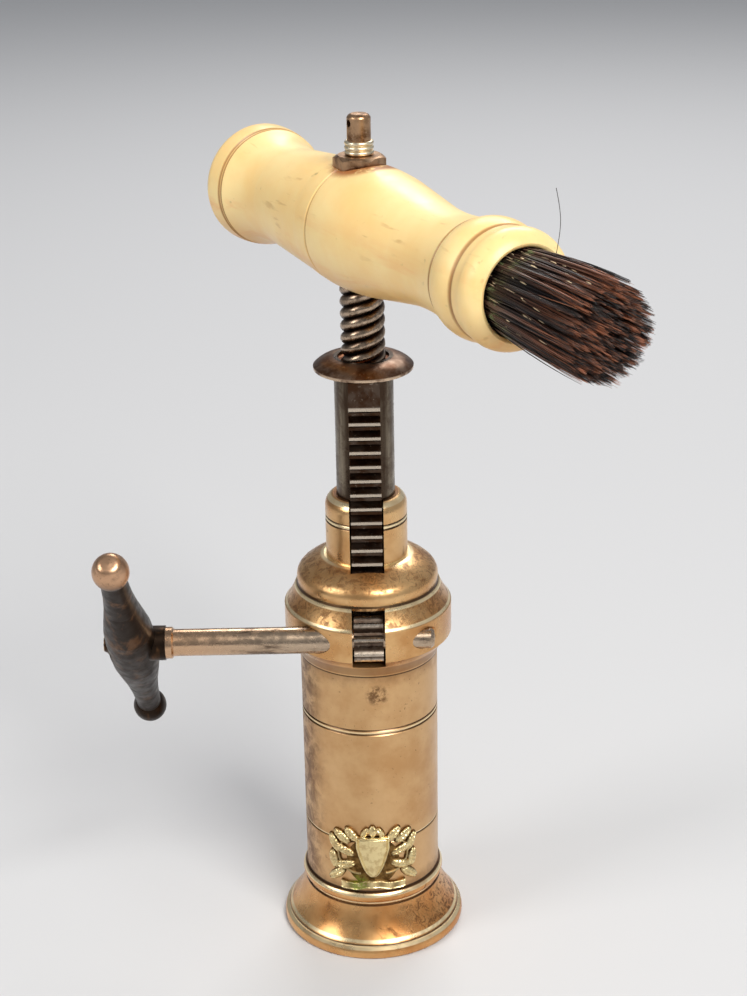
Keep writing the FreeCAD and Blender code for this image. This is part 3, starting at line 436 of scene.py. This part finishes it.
def flange_steel():
    def rim(made):
        edge = made.near(made.z, low("rack_flange").z + 0.3 * MM, 0.2 * MM, 0.35 * MM)
        return made.times(edge, made.span(made.noise(3.0), 0.35, 0.55), 0.75)

    return old_steel("flange_steel", rgb(132, 108, 90), rgb(96, 66, 46), rgb(222, 196, 168), 0.5, rim,
                     rough=(0.28, 0.46))


def nut_bronze():
    return old_steel("nut_bronze", rgb(168, 112, 74), rgb(104, 60, 34), rgb(232, 190, 140), 0.46,
                     rough=(0.3, 0.45))


def side_rod_steel():
    """Copper-brown rod, paler towards the barrel, dark in patches."""
    made = Finish("side_rod_steel", metallic=1.0)
    along = made.stretched((0.35, 1.0, 1.0))
    film = made.span(made.noise(3.5, 8.0, 0.7, place=along, distortion=0.5), 0.48, 0.66)
    pale = made.span(made.x, -46 * MM, -14 * MM)
    colour = made.mix(pale, rgb(206, 168, 134), rgb(190, 168, 144))
    colour = made.mix(made.times(film, 0.85), colour, rgb(66, 48, 38))
    rubs = made.span(made.noise(0.8, 4.0, 0.6, place=along), 0.6, 0.75)
    colour = made.mix(made.times(rubs, 0.5), colour, rgb(225, 200, 175))
    roughness = made.span(made.noise(2.0, 5.0, 0.6), 0.3, 0.7, 0.18, 0.34)
    normal = made.bump(made.noise(1.0, 4.0, 0.55, place=along), 0.2, 0.03)
    return made.finish(colour, roughness, normal)


def grip_steel():
    """Near-black turned grip, copper brown on the top knob and in rubbed patches down the front, the patches
    fading towards the bottom as painted shade.
    """
    made = Finish("grip_steel", metallic=1.0)
    grip_low, grip_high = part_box("side_grip")
    height = made.span(made.z, grip_high.z - 8.5 * MM, grip_high.z - 4.5 * MM)
    # Rubbed patches, thinned towards the bottom as painted shade.
    rubbed_with_painted_light = made.times(
        made.span(made.noise(3.2, 7.0, 0.68, place=made.stretched((1, 1, 0.5)), distortion=0.5), 0.5, 0.68),
        made.span(made.z, grip_low.z, grip_high.z, 0.35, 1.0),
    )
    colour = made.mix(made.times(rubbed_with_painted_light, 0.8), rgb(44, 34, 27), rgb(120, 84, 54))
    knob = made.times(height, made.span(made.noise(2.2, 5.0, 0.6), 0.25, 0.5, 0.55, 0.95))
    colour = made.mix(knob, colour, rgb(208, 166, 132))
    pits = made.span(made.noise(0.6, 5.0, 0.65), 0.58, 0.7)
    colour = made.mix(made.times(pits, 0.55), colour, rgb(28, 21, 17))
    roughness = made.blend(height, made.span(made.noise(2.0), 0.3, 0.7, 0.32, 0.5), 0.34)
    normal = made.bump(made.noise(0.8, 6.0, 0.65), 0.35, 0.05)
    return made.finish(colour, roughness, normal)


def spindle_steel():
    """Threads with a painted highlight on the crests and near-black grooves."""

    def highlit_crests(made):
        # Painted highlight on the thread crests.
        painted_crest_highlight = made.span(made.from_axis(made.x, made.y), 4.2 * MM, 4.62 * MM, 0.0, 0.9)
        return made.times(painted_crest_highlight, made.span(made.noise(1.6, 6.0, 0.65), 0.32, 0.6, 0.35, 1.0))

    return old_steel("spindle_steel", rgb(66, 50, 40), rgb(48, 32, 24), rgb(196, 172, 148), 0.42, highlit_crests,
                     rough=(0.26, 0.44))


def worm_steel():
    return old_steel("worm_steel", rgb(150, 142, 134), rgb(110, 90, 74), rgb(200, 192, 184), 0.58)


def finial_steel():
    return old_steel("finial_steel", rgb(186, 150, 116), rgb(110, 76, 50), rgb(240, 222, 196), 0.54,
                     rough=(0.26, 0.44))


def finial_nickel():
    return old_steel("finial_nickel", rgb(236, 222, 192), rgb(168, 138, 98), rgb(250, 244, 228), 0.62,
                     rough=(0.3, 0.42))


plug_low, plug_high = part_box("brush_plug")
brush_way = (plug_low + plug_high) / 2
handle_yaw = math.atan2(brush_way.y, brush_way.x)
handle_axis = Vector((math.cos(handle_yaw), math.sin(handle_yaw), 0))
handle_centre = Vector((0, 0, brush_way.z))

# Grooves of the bone handle: millimetres along it, half width and soft edge.
BONE_GROOVES = [
    (-39.5, 0.12, 0.35),
    (-38.8, 0.12, 0.35),
    (0.0, 0.14, 0.35),
    (43.6, 0.2, 0.6),
    (51.4, 0.2, 0.6),
]


def bone():
    """Polished old bone: cream and honey, brown groove lines, lengthwise streaks, a rust stain, and painted
    shade on the underside and inside the socket.
    """
    made = Finish("bone", specular=0.5)
    turned = made.node("ShaderNodeMapping", vector_type="TEXTURE")
    made.join(made.place, turned.inputs["Vector"])
    turned.inputs["Location"].default_value = handle_centre
    turned.inputs["Rotation"].default_value = (0, 0, handle_yaw)
    split = made.node("ShaderNodeSeparateXYZ")
    made.join(turned.outputs[0], split.inputs[0])
    along, across, up = split.outputs
    stretch = made.node("ShaderNodeMapping")
    made.join(turned.outputs[0], stretch.inputs["Vector"])
    stretch.inputs["Scale"].default_value = (0.12, 1.0, 1.0)
    long_place = stretch.outputs[0]

    tone = made.span(made.noise(16.0, 4.0, 0.55), 0.3, 0.72)
    colour = made.mix(tone, rgb(254, 226, 162), rgb(250, 210, 138))
    clouds = made.span(made.noise(8.0, 6.0, 0.62, place=long_place, distortion=0.3), 0.46, 0.68)
    # Painted shade: honey clouds kept to the underside.
    underside_shade = made.span(up, -6 * MM, 8 * MM, 1.0, 0.0)
    colour = made.mix(made.times(clouds, underside_shade, 0.7), colour, rgb(240, 166, 96))
    # Painted shade along the underside.
    colour = made.mix(made.span(up, -13 * MM, -1 * MM, 0.8, 0.0), colour, rgb(206, 152, 84))
    streaks = made.times(
        made.span(made.noise(1.3, 3.0, 0.5, place=long_place), 0.6, 0.72),
        made.span(made.noise(13.0, 3.0, 0.6), 0.46, 0.62),
    )
    colour = made.mix(made.times(streaks, 0.4), colour, rgb(190, 146, 84))
    grey = made.times(
        made.span(made.noise(2.2, 3.0, 0.5), 0.66, 0.76),
        made.span(made.noise(12.0, 2.0, 0.5), 0.48, 0.6),
    )
    colour = made.mix(made.times(grey, 0.6), colour, rgb(168, 148, 92))

    grooves = None
    for centre, half_width, soft in BONE_GROOVES:
        line = made.near(along, centre * MM, half_width * MM, soft * MM)
        grooves = line if grooves is None else made.most(grooves, line)
    colour = made.mix(made.times(grooves, 0.8), colour, rgb(146, 92, 38))

    # Painted shade inside the socket where the brush goes in.
    socket_shade = made.times(
        made.span(made.from_axis(across, up), 8.35 * MM, 8.65 * MM, 1.0, 0.0),
        made.span(along, 46 * MM, 46.5 * MM),
    )
    colour = made.mix(made.times(socket_shade, 0.9), colour, rgb(74, 44, 22))

    stain = made.times(
        made.spot((1.0 * MM, -1.6 * MM, handle_centre.z + 12.0 * MM), 5.4 * MM, 2.4 * MM),
        made.span(made.noise(2.0, 5.0, 0.6), 0.3, 0.52),
    )
    colour = made.mix(made.times(stain, 0.9), colour, rgb(158, 84, 28))

    roughness = made.span(made.noise(6.0, 5.0, 0.6), 0.3, 0.7, 0.3, 0.44)
    normal = made.bump(made.noise(1.4, 4.0, 0.5, place=long_place), 0.12, 0.03)
    normal = made.bump(made.noise(11.0, 3.0, 0.5), 0.22, 0.25, normal)
    made.shader.inputs["Subsurface Weight"].default_value = 0.12
    made.shader.inputs["Subsurface Radius"].default_value = (1.0, 0.6, 0.3)
    made.shader.inputs["Subsurface Scale"].default_value = 1.5 * MM
    return made.finish(colour, roughness, normal)


def plug_wood():
    made = Finish("plug_wood")
    rings = made.noise(1.2, 5.0, 0.6, place=made.stretched((1, 1, 0.2)))
    colour = made.mix(made.span(rings, 0.35, 0.65), rgb(96, 62, 34), rgb(58, 36, 20))
    return made.finish(colour, 0.6, made.bump(rings, 0.3, 0.05))


def brush_bristle():
    """Black-brown hair with red-brown ends, green tinges at the root and, at full tone, cream flakes."""
    made = Finish("brush_bristle", specular=0.5)
    tone = made.node("ShaderNodeAttribute", attribute_name="tone").outputs["Fac"]
    reach = made.node("ShaderNodeAttribute", attribute_name="reach").outputs["Fac"]
    colour = made.mix(made.span(tone, 0.1, 0.75), rgb(18, 12, 11), rgb(128, 96, 82))
    ends = made.times(made.span(reach, 0.35, 0.9), made.span(tone, 0.22, 0.5))
    colour = made.mix(made.times(ends, 0.85), colour, rgb(178, 108, 72))
    root = made.times(
        made.span(reach, 0.16, 0.42, 1.0, 0.0),
        made.span(made.noise(2.4, 4.0, 0.6), 0.52, 0.62),
        made.span(tone, 0.12, 0.4),
    )
    colour = made.mix(made.times(root, 0.85), colour, rgb(150, 168, 116))
    colour = made.mix(made.span(tone, 0.96, 0.99), colour, rgb(232, 208, 168))
    return made.finish(colour, 0.36)


FINISHES = {
    "barrel_brass": barrel_brass(),
    "housing_brass": housing_brass(),
    "foot_brass": foot_brass(),
    "plate_brass": plate_brass(),
    "rack_steel": rack_steel(),
    "tube_steel": tube_steel(),
    "flange_steel": flange_steel(),
    "nut_bronze": nut_bronze(),
    "side_rod_steel": side_rod_steel(),
    "grip_steel": grip_steel(),
    "spindle_steel": spindle_steel(),
    "worm_steel": worm_steel(),
    "finial_steel": finial_steel(),
    "finial_nickel": finial_nickel(),
    "bone": bone(),
    "plug_wood": plug_wood(),
    "brush_bristle": brush_bristle(),
}

slot_of = {part["node"]: part["material_slot"] for part in frame["record"]["subparts"]}
for node_name, cad_object in frame["nodes"].items():
    for index in range(len(cad_object.material_slots)):
        cad_object.material_slots[index].material = FINISHES[slot_of[node_name]]


# ---------------------------------------------------------------- mesh helpers


def add_mesh(name, vertices, faces, body, slot, replaced=(), smooth_angle=None):
    """Makes one piece from points and faces, attaches it to its body and hides the nodes it replaces."""
    mesh = bpy.data.meshes.new(name)
    mesh.from_pydata([tuple(v) for v in vertices], [], faces)
    mesh.validate()
    mesh.update()
    mesh.polygons.foreach_set("use_smooth", [True] * len(mesh.polygons))
    if smooth_angle is not None:
        mesh.set_sharp_from_angle(angle=math.radians(smooth_angle))
    piece = bpy.data.objects.new(name, mesh)
    bpy.context.scene.collection.objects.link(piece)
    mesh.materials.append(FINISHES[slot])
    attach(piece, body)
    if replaced:
        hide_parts(*replaced)
    return piece


def ring_faces(rings, columns, start=0):
    """Quads between neighbouring rings of points, each ring closed on itself."""
    faces = []
    for ring in range(rings - 1):
        for column in range(columns):
            after = (column + 1) % columns
            a = start + ring * columns
            b = a + columns
            faces.append((a + column, a + after, b + after, b + column))
    return faces


def lathe(outline, columns):
    """Points and faces turned about Z from an open outline of (radius, height) in metres."""
    vertices = []
    for radius, height in outline:
        for column in range(columns):
            angle = 2 * math.pi * column / columns
            vertices.append((radius * math.cos(angle), radius * math.sin(angle), height))
    faces = ring_faces(len(outline), columns)
    faces.append(tuple(reversed(range(columns))))
    last = (len(outline) - 1) * columns
    faces.append(tuple(range(last, last + columns)))
    return vertices, faces


def joined(*parts):
    """One list of points and faces from several."""
    vertices = []
    faces = []
    for more_vertices, more_faces in parts:
        start = len(vertices)
        vertices += list(more_vertices)
        faces += [tuple(index + start for index in face) for face in more_faces]
    return vertices, faces


# ---------------------------------------------------------------- threaded spindle

STARTS = 3
THREAD_LEAD = 7.8 * MM
THREAD_DEPTH = 0.8 * MM
SHANK_LENGTH = 17.8 * MM
STUD_LENGTH = 31.5 * MM
ROWS_PER_TURN = 44
COLUMNS_PER_START = 30


def spindle():
    """The spindle: rope-like three-start thread, plain shank below and stud above."""
    bottom = low("spindle").z
    top = high("spindle").z
    crest_r = high("spindle").x
    thread_low = bottom + SHANK_LENGTH
    thread_high = top - STUD_LENGTH
    rows = int((thread_high - thread_low) / THREAD_LEAD * ROWS_PER_TURN)
    columns = COLUMNS_PER_START * STARTS
    vertices = []
    for row in range(rows + 1):
        height = thread_low + (thread_high - thread_low) * row / rows
        turn = 2 * math.pi * height / THREAD_LEAD
        for column in range(columns):
            angle = 2 * math.pi * column / columns
            ridge = abs(math.cos(STARTS * angle / 2)) ** 0.75
            radius = crest_r - THREAD_DEPTH * (1 - ridge)
            vertices.append((radius * math.cos(angle + turn), radius * math.sin(angle + turn), height))
    faces = ring_faces(rows + 1, columns)
    faces.append(tuple(reversed(range(columns))))
    faces.append(tuple(range(rows * columns, (rows + 1) * columns)))
    shank = lathe([
        (2.4 * MM, bottom),
        (2.5 * MM, bottom + 0.1 * MM),
        (2.5 * MM, bottom + 13.5 * MM),
        (3.4 * MM, bottom + 13.6 * MM),
        (3.85 * MM, bottom + 14.1 * MM),
        (3.85 * MM, thread_low + 0.3 * MM),
    ], 64)
    stud = lathe([
        (3.1 * MM, thread_high - 0.3 * MM),
        (3.1 * MM, top - 7.6 * MM),
        (1.8 * MM, top - 7.55 * MM),
        (1.8 * MM, top),
    ], 48)
    vertices, faces = joined((vertices, faces), shank, stud)
    add_mesh("spindle_thread", vertices, faces, "spindle", "spindle_steel", ("spindle",), smooth_angle=50)


spindle()


# ---------------------------------------------------------------- ornament plate

PLATE_HALF_WIDTH = 11.6
PLATE_FOOT, PLATE_TOP = -9.0, 9.4
PLATE_MIDDLE_HEIGHT = 23.2
PLATE_STEP = 0.085
GROUND = -0.3
SHIELD_POINT, SHIELD_TOP = -4.6, 5.6
SHIELD_HALF_WIDTH = 3.7
RIBBON_HEIGHT = -7.0
RIBBON_HALF_WIDTH = 7.2
STEM_RADIUS = 0.4

# Leaves and fan petals on the right half: middle across and up, two half lengths, and tilt in degrees.
LEAVES = [
    (4.6, 5.9, 2.3, 1.1, 48.0),
    (6.9, 5.0, 2.5, 1.15, 38.0),
    (8.7, 2.9, 2.6, 1.1, 62.0),
    (6.3, 1.6, 2.6, 1.1, 22.0),
    (9.0, -1.3, 2.5, 1.1, 78.0),
    (6.2, -2.1, 2.5, 1.15, -18.0),
    (8.3, -5.0, 2.7, 1.15, -40.0),
]
FAN = [(0.0, 7.0, 0.95, 1.5, 0.0), (1.7, 6.6, 0.8, 1.45, -30.0)]


def shield_plate():
    """Cast relief on the barrel: a plain shield between leaf sprays, a small fan above, a ribbon below."""
    u = np.arange(-PLATE_HALF_WIDTH, PLATE_HALF_WIDTH, PLATE_STEP)
    v = np.arange(PLATE_FOOT, PLATE_TOP, PLATE_STEP)
    grid_u, grid_v = np.meshgrid(u, v)
    relief = np.full(grid_u.shape, GROUND)

    def raise_to(height):
        np.maximum(relief, height, out=relief)

    for petal in LEAVES + FAN:
        x, z, long_r, wide_r, turn = petal
        for side in (-1, 1):
            angle = math.radians(side * turn)
            du = grid_u - side * x
            dv = grid_v - z
            if petal in FAN:
                lengthwise = (du * math.sin(angle) + dv * math.cos(angle)) * long_r / wide_r
                crosswise = du * math.cos(angle) - dv * math.sin(angle)
                far = np.sqrt((crosswise / long_r) ** 2 + (lengthwise / long_r) ** 2)
            else:
                lengthwise = du * math.cos(angle) + dv * math.sin(angle)
                crosswise = -du * math.sin(angle) + dv * math.cos(angle)
                far = np.sqrt((lengthwise / long_r) ** 2 + (crosswise / wide_r) ** 2)
            dome = 0.95 * np.sqrt(np.clip(1 - far**2, 0, 1)) ** 0.8
            vein = 0.22 * np.exp(-((crosswise / 0.16) ** 2))
            ribs = 0.07 * np.cos(lengthwise * 7.5 - np.abs(crosswise) * 5.0)
            raise_to(np.where(far < 1, dome - vein + ribs * (far < 0.9) + 0.08, GROUND))

    for side in (-1, 1):
        stem = np.abs(np.hypot(grid_u - side * 3.2, grid_v - 0.6) - 4.6)
        outward = (grid_u * side > 2.6) & (grid_u * side < 8.2)
        rounded = 0.55 * np.sqrt(np.clip(1 - (stem / STEM_RADIUS) ** 2, 0, 1))
        raise_to(np.where((stem < STEM_RADIUS) & outward, rounded, GROUND))

    half = SHIELD_HALF_WIDTH * np.sqrt(np.clip((grid_v - SHIELD_POINT) / 7.4, 0, 1)) ** 0.9
    half = np.where(grid_v > 3.0, SHIELD_HALF_WIDTH, half)
    inset = np.minimum(half - np.abs(grid_u), SHIELD_TOP - grid_v)
    in_shield = (inset > 0) & (grid_v > SHIELD_POINT)
    field = 0.78 + 0.25 * np.sqrt(np.clip(1 - (grid_u / 4.4) ** 2, 0, 1))
    rim = 1.12 * np.exp(-(((inset - 0.35) / 0.28) ** 4))
    raise_to(np.where(in_shield, np.maximum(np.where(inset > 0.7, field, 0.62), rim), GROUND))

    wave = RIBBON_HEIGHT + 0.35 * np.cos(grid_u * 0.62)
    from_middle = np.abs(grid_v - wave)
    on_ribbon = (from_middle < 0.95) & (np.abs(grid_u) < RIBBON_HALF_WIDTH)
    ribbon = 0.6 + 0.25 * (from_middle > 0.68)
    folds = 0.12 * np.cos(grid_u * 1.9)
    raise_to(np.where(on_ribbon, ribbon + folds, GROUND))

    bridge = np.hypot(grid_u / 6.0, (grid_v + 1.0) / 6.2)
    raise_to(np.where(bridge < 1, 0.22, GROUND))

    smooth = relief.copy()
    for _ in range(2):
        smooth[1:-1, 1:-1] = (
            smooth[1:-1, 1:-1] * 2
            + smooth[:-2, 1:-1]
            + smooth[2:, 1:-1]
            + smooth[1:-1, :-2]
            + smooth[1:-1, 2:]
        ) / 6
    radius = barrel_r / MM + smooth
    angle = grid_u / (barrel_r / MM)
    height = PLATE_MIDDLE_HEIGHT + grid_v
    points = np.stack([radius * np.sin(angle), -radius * np.cos(angle), height], axis=-1) * MM
    rows, columns = grid_u.shape
    above = smooth > -0.05
    keep = above[:-1, :-1] | above[1:, :-1] | above[:-1, 1:] | above[1:, 1:]
    index = np.arange(rows * columns).reshape(rows, columns)
    corners = np.stack([index[:-1, :-1], index[:-1, 1:], index[1:, 1:], index[1:, :-1]], axis=-1)[keep]
    used = np.unique(corners)
    renumber = np.zeros(rows * columns, int)
    renumber[used] = np.arange(len(used))
    faces = [tuple(face) for face in renumber[corners].tolist()]
    vertices = points.reshape(-1, 3)[used]
    add_mesh("plate_relief", vertices, faces, "barrel", "plate_brass", ("shield_plate", "plate_pins"))


shield_plate()


# ---------------------------------------------------------------- rack strip


def rack_strip():
    """The toothed strip with small rounded edges, so that each tooth crest catches the light."""
    source = frame["nodes"]["rack_bar"].data
    mesh = source.copy()
    piece = bpy.data.objects.new("rack_strip", mesh)
    bpy.context.scene.collection.objects.link(piece)
    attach(piece, "rack")
    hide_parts("rack_bar")
    bevel = piece.modifiers.new("soft_edges", "BEVEL")
    bevel.width = 0.09 * MM
    bevel.segments = 3
    bevel.limit_method = "ANGLE"
    bevel.angle_limit = math.radians(20)


rack_strip()


# ---------------------------------------------------------------- dusting brush

HAIRS = 5600
TUFTS = 420
FLAKES = 170
HAIR_STATIONS = 7
HAIR_SIDES = 3
PLUG_END = 52.0
HAIR_ROOT = PLUG_END + 0.3
HAIR_TIP = 88.6
TIP_DROOP = 0.9
LOOSE_SHARE = 0.05
SHORT_SHARE = 0.08
FLAKE_STATIONS = 4
FLAKE_TONE = 1.0
ROOT_RADIUS = 7.5
TIP_RADIUS = 9.0

side_way = np.array((-math.sin(handle_yaw), math.cos(handle_yaw), 0.0))
up_way = np.array((0.0, 0.0, 1.0))


def brush_point(along, out, angle):
    """A point of the brush in millimetres, out from its axis at an angle, drooping towards the tip."""
    t = (along - HAIR_ROOT) / (HAIR_TIP - HAIR_ROOT)
    sideways = out * math.cos(angle)
    upwards = out * math.sin(angle) - TIP_DROOP * t**2
    on_axis = np.array(handle_centre) / MM + np.array(handle_axis) * along
    return on_axis + side_way * sideways + up_way * upwards


def hair_radius(root, tip, t):
    """Distance from the brush's axis at t of a hair's length, flaring early and then running straight."""
    return root + (tip - root) * (1 - (1 - t) ** 1.5)


def brush():
    """Thousands of tapering hairs drawn into tufts, ragged at the tip, with flakes stuck among them."""
    tufts = []
    for _ in range(TUFTS):
        spread = math.sqrt(rng.random())
        tufts.append({
            "spread": spread,
            "angle": rng.random() * 2 * math.pi,
            "tone": rng.beta(1.1, 2.4) * 0.8,
            "length": 1 - 0.1 * spread**2.5 - abs(rng.normal(0, 0.025)),
            "splay": rng.normal(0, 0.3),
            "twist": rng.normal(0, 0.07),
        })
    tuft_x = np.array([tuft["spread"] * math.cos(tuft["angle"]) for tuft in tufts])
    tuft_y = np.array([tuft["spread"] * math.sin(tuft["angle"]) for tuft in tufts])

    vertices = []
    tones = []
    reaches = []
    faces = []

    def strand(points, widths, tone, reach_from, reach_to, phase):
        start = len(vertices)
        count = len(points)
        for station, (middle, width) in enumerate(zip(points, widths)):
            for corner in range(HAIR_SIDES):
                turn = 2 * math.pi * corner / HAIR_SIDES + phase
                offset = side_way * math.cos(turn) + up_way * math.sin(turn)
                vertices.append(tuple((middle + offset * width) * MM))
                tones.append(tone)
                reaches.append(reach_from + (reach_to - reach_from) * station / (count - 1))
        faces.extend(ring_faces(count, HAIR_SIDES, start))
        last = start + (count - 1) * HAIR_SIDES
        faces.append(tuple(range(last, last + HAIR_SIDES)))

    for hair in range(HAIRS):
        spread = math.sqrt(rng.random())
        angle = rng.random() * 2 * math.pi
        x, y = spread * math.cos(angle), spread * math.sin(angle)
        nearest = int(np.argmin((tuft_x - x) ** 2 + (tuft_y - y) ** 2))
        tuft = tufts[nearest]
        pull = rng.uniform(0.1, 0.6)
        tip_x = x + (tuft_x[nearest] - x) * pull
        tip_y = y + (tuft_y[nearest] - y) * pull
        loose = rng.random() < LOOSE_SHARE
        tip_spread = math.hypot(tip_x, tip_y)
        tip_angle = math.atan2(tip_y, tip_x) + tuft["twist"] + (rng.normal(0, 0.12) if loose else 0)
        tip_out = TIP_RADIUS * tip_spread**0.9 + tuft["splay"] * spread
        tip_out += rng.uniform(0.1, 0.7) if loose else 0
        length = (HAIR_TIP - HAIR_ROOT) * tuft["length"] * (1 - abs(rng.normal(0, 0.03)))
        if rng.random() < SHORT_SHARE:
            length *= rng.uniform(0.72, 0.98)
        thick = rng.uniform(0.07, 0.13)
        tone = float(np.clip(tuft["tone"] + rng.normal(0, 0.14), 0, 0.9))
        bend = rng.normal(0, 0.16)
        turn_by = (tip_angle - angle + math.pi) % (2 * math.pi) - math.pi
        points = []
        widths = []
        for station in range(HAIR_STATIONS):
            t = station / (HAIR_STATIONS - 1)
            out = hair_radius(ROOT_RADIUS * spread, tip_out, t) + bend * math.sin(math.pi * t)
            points.append(brush_point(HAIR_ROOT + length * t, out, angle + turn_by * t**1.3))
            widths.append(thick * (1 - 0.75 * t**3))
        strand(points, widths, tone, 0.0, length / (HAIR_TIP - HAIR_ROOT), hair)

    for flake in range(FLAKES):
        t = rng.beta(1.0, 1.6) * 0.8
        angle = rng.random() * 2 * math.pi
        long = rng.uniform(0.6, 2.6) * (1.5 if t < 0.3 else 1.0)
        wide = rng.uniform(0.07, 0.16)
        points = []
        widths = []
        for station in range(FLAKE_STATIONS):
            s = station / (FLAKE_STATIONS - 1)
            here = t + s * long / (HAIR_TIP - HAIR_ROOT)
            out = hair_radius(ROOT_RADIUS, TIP_RADIUS, here) - 0.1 - 0.35 * here
            points.append(brush_point(HAIR_ROOT + here * (HAIR_TIP - HAIR_ROOT), out, angle + 0.02 * s))
            widths.append(wide * (0.35 + math.sin(math.pi * s)))
        strand(points, widths, FLAKE_TONE, t, t, flake)

    piece = add_mesh("brush_bristles", vertices, faces, "spindle", "brush_bristle", ("brush_hair",))
    for name, values in (("tone", tones), ("reach", reaches)):
        layer = piece.data.attributes.new(name, "FLOAT", "POINT")
        layer.data.foreach_set("value", values)


brush()


def stray_hair():
    """One loose hair that stands up from the brush's root."""
    root = handle_centre + handle_axis * 61.5 * MM + Vector((4.0, 2.2, 6.4)) * MM
    bends = [(0, 0, 0), (0.8, 0.2, 4.0), (0.9, 0.4, 8.5), (0.0, 0.6, 12.5)]
    curve = bpy.data.curves.new("stray_hair", "CURVE")
    curve.dimensions = "3D"
    curve.bevel_depth = 0.06 * MM
    curve.bevel_resolution = 1
    spline = curve.splines.new("NURBS")
    spline.points.add(len(bends) - 1)
    for point, bend in zip(spline.points, bends):
        place = root + Vector(bend) * MM
        point.co = (place.x, place.y, place.z, 1.0)
    spline.order_u = 3
    spline.use_endpoint_u = True
    hair = bpy.data.objects.new("stray_hair", curve)
    bpy.context.scene.collection.objects.link(hair)
    made = Finish("stray_hair_finish")
    curve.materials.append(made.finish(rgb(30, 24, 22), 0.5))
    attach(hair, "spindle")


stray_hair()


# ---------------------------------------------------------------- floor, light and camera


def floor():
    """A pale matt floor just under the foot."""
    mesh = bpy.data.meshes.new("floor")
    half = 3.0
    corners = [(-half, -half, 0), (half, -half, 0), (half, half, 0), (-half, half, 0)]
    mesh.from_pydata(corners, [], [(0, 1, 2, 3)])
    piece = bpy.data.objects.new("floor", mesh)
    piece.location.z = -0.02 * MM
    bpy.context.scene.collection.objects.link(piece)
    made = Finish("floor_finish")
    mesh.materials.append(made.finish(rgb(206, 207, 209), 0.75))


def softbox(name, place, target, size, power, colour):
    data = bpy.data.lights.new(name, "AREA")
    data.shape = "RECTANGLE"
    data.size, data.size_y = size
    data.energy = power
    data.color = colour
    light = bpy.data.objects.new(name, data)
    light.location = place
    aim = Vector(target) - Vector(place)
    light.rotation_mode = "QUATERNION"
    light.rotation_quaternion = aim.to_track_quat("-Z", "Y")
    bpy.context.scene.collection.objects.link(light)


def lights():
    """Soft light from the upper right in front, weaker from the left and behind, in a pale room."""
    aim = (0, 0, 0.1)
    softbox("key", (0.42, -0.72, 0.95), aim, (0.5, 0.5), 13.0, (1.0, 0.97, 0.92))
    softbox("fill", (-0.9, -0.45, 0.75), aim, (0.4, 0.6), 5.0, (1.0, 0.97, 0.94))
    softbox("back", (0.2, 0.9, 0.9), aim, (0.7, 0.4), 6.0, (1.0, 0.98, 0.96))
    world = bpy.data.worlds.new("studio")
    world.use_nodes = True
    tree = world.node_tree
    sky = tree.nodes["Background"]
    sky.inputs["Color"].default_value = (0.62, 0.64, 0.68, 1.0)
    direction = tree.nodes.new("ShaderNodeTexCoord")
    split = tree.nodes.new("ShaderNodeSeparateXYZ")
    strength = tree.nodes.new("ShaderNodeMapRange")
    strength.inputs["From Min"].default_value = -1.0
    strength.inputs["From Max"].default_value = 1.0
    strength.inputs["To Min"].default_value = 0.3
    strength.inputs["To Max"].default_value = 0.6
    tree.links.new(direction.outputs["Generated"], split.inputs[0])
    tree.links.new(split.outputs["X"], strength.inputs["Value"])
    tree.links.new(strength.outputs[0], sky.inputs["Strength"])
    bpy.context.scene.world = world


CAMERA_DISTANCE = 0.3842
CAMERA_HEIGHT = 0.2614
CAMERA_PITCH = 22.38
CAMERA_YAW = 0.24
CAMERA_ROLL = -1.03
CAMERA_LENS = 70.48


def camera():
    """The camera that looks a little down on the front of the corkscrew."""
    pitch, yaw, roll = (math.radians(a) for a in (CAMERA_PITCH, CAMERA_YAW, CAMERA_ROLL))
    forward = Vector((math.sin(yaw) * math.cos(pitch), math.cos(yaw) * math.cos(pitch), -math.sin(pitch)))
    level = Vector((math.cos(yaw), -math.sin(yaw), 0))
    upright = level.cross(forward)
    right = level * math.cos(roll) + upright * math.sin(roll)
    top = -level * math.sin(roll) + upright * math.cos(roll)
    data = bpy.data.cameras.new("camera")
    data.lens = CAMERA_LENS
    data.sensor_width = 36.0
    data.clip_start = 0.01
    made = bpy.data.objects.new("camera", data)
    place = Matrix((right, top, -forward)).transposed().to_4x4()
    place.translation = (0, -CAMERA_DISTANCE, CAMERA_HEIGHT)
    made.matrix_world = place
    bpy.context.scene.collection.objects.link(made)
    bpy.context.scene.camera = made


floor()
lights()
camera()
bpy.context.scene.view_settings.view_transform = "Standard"
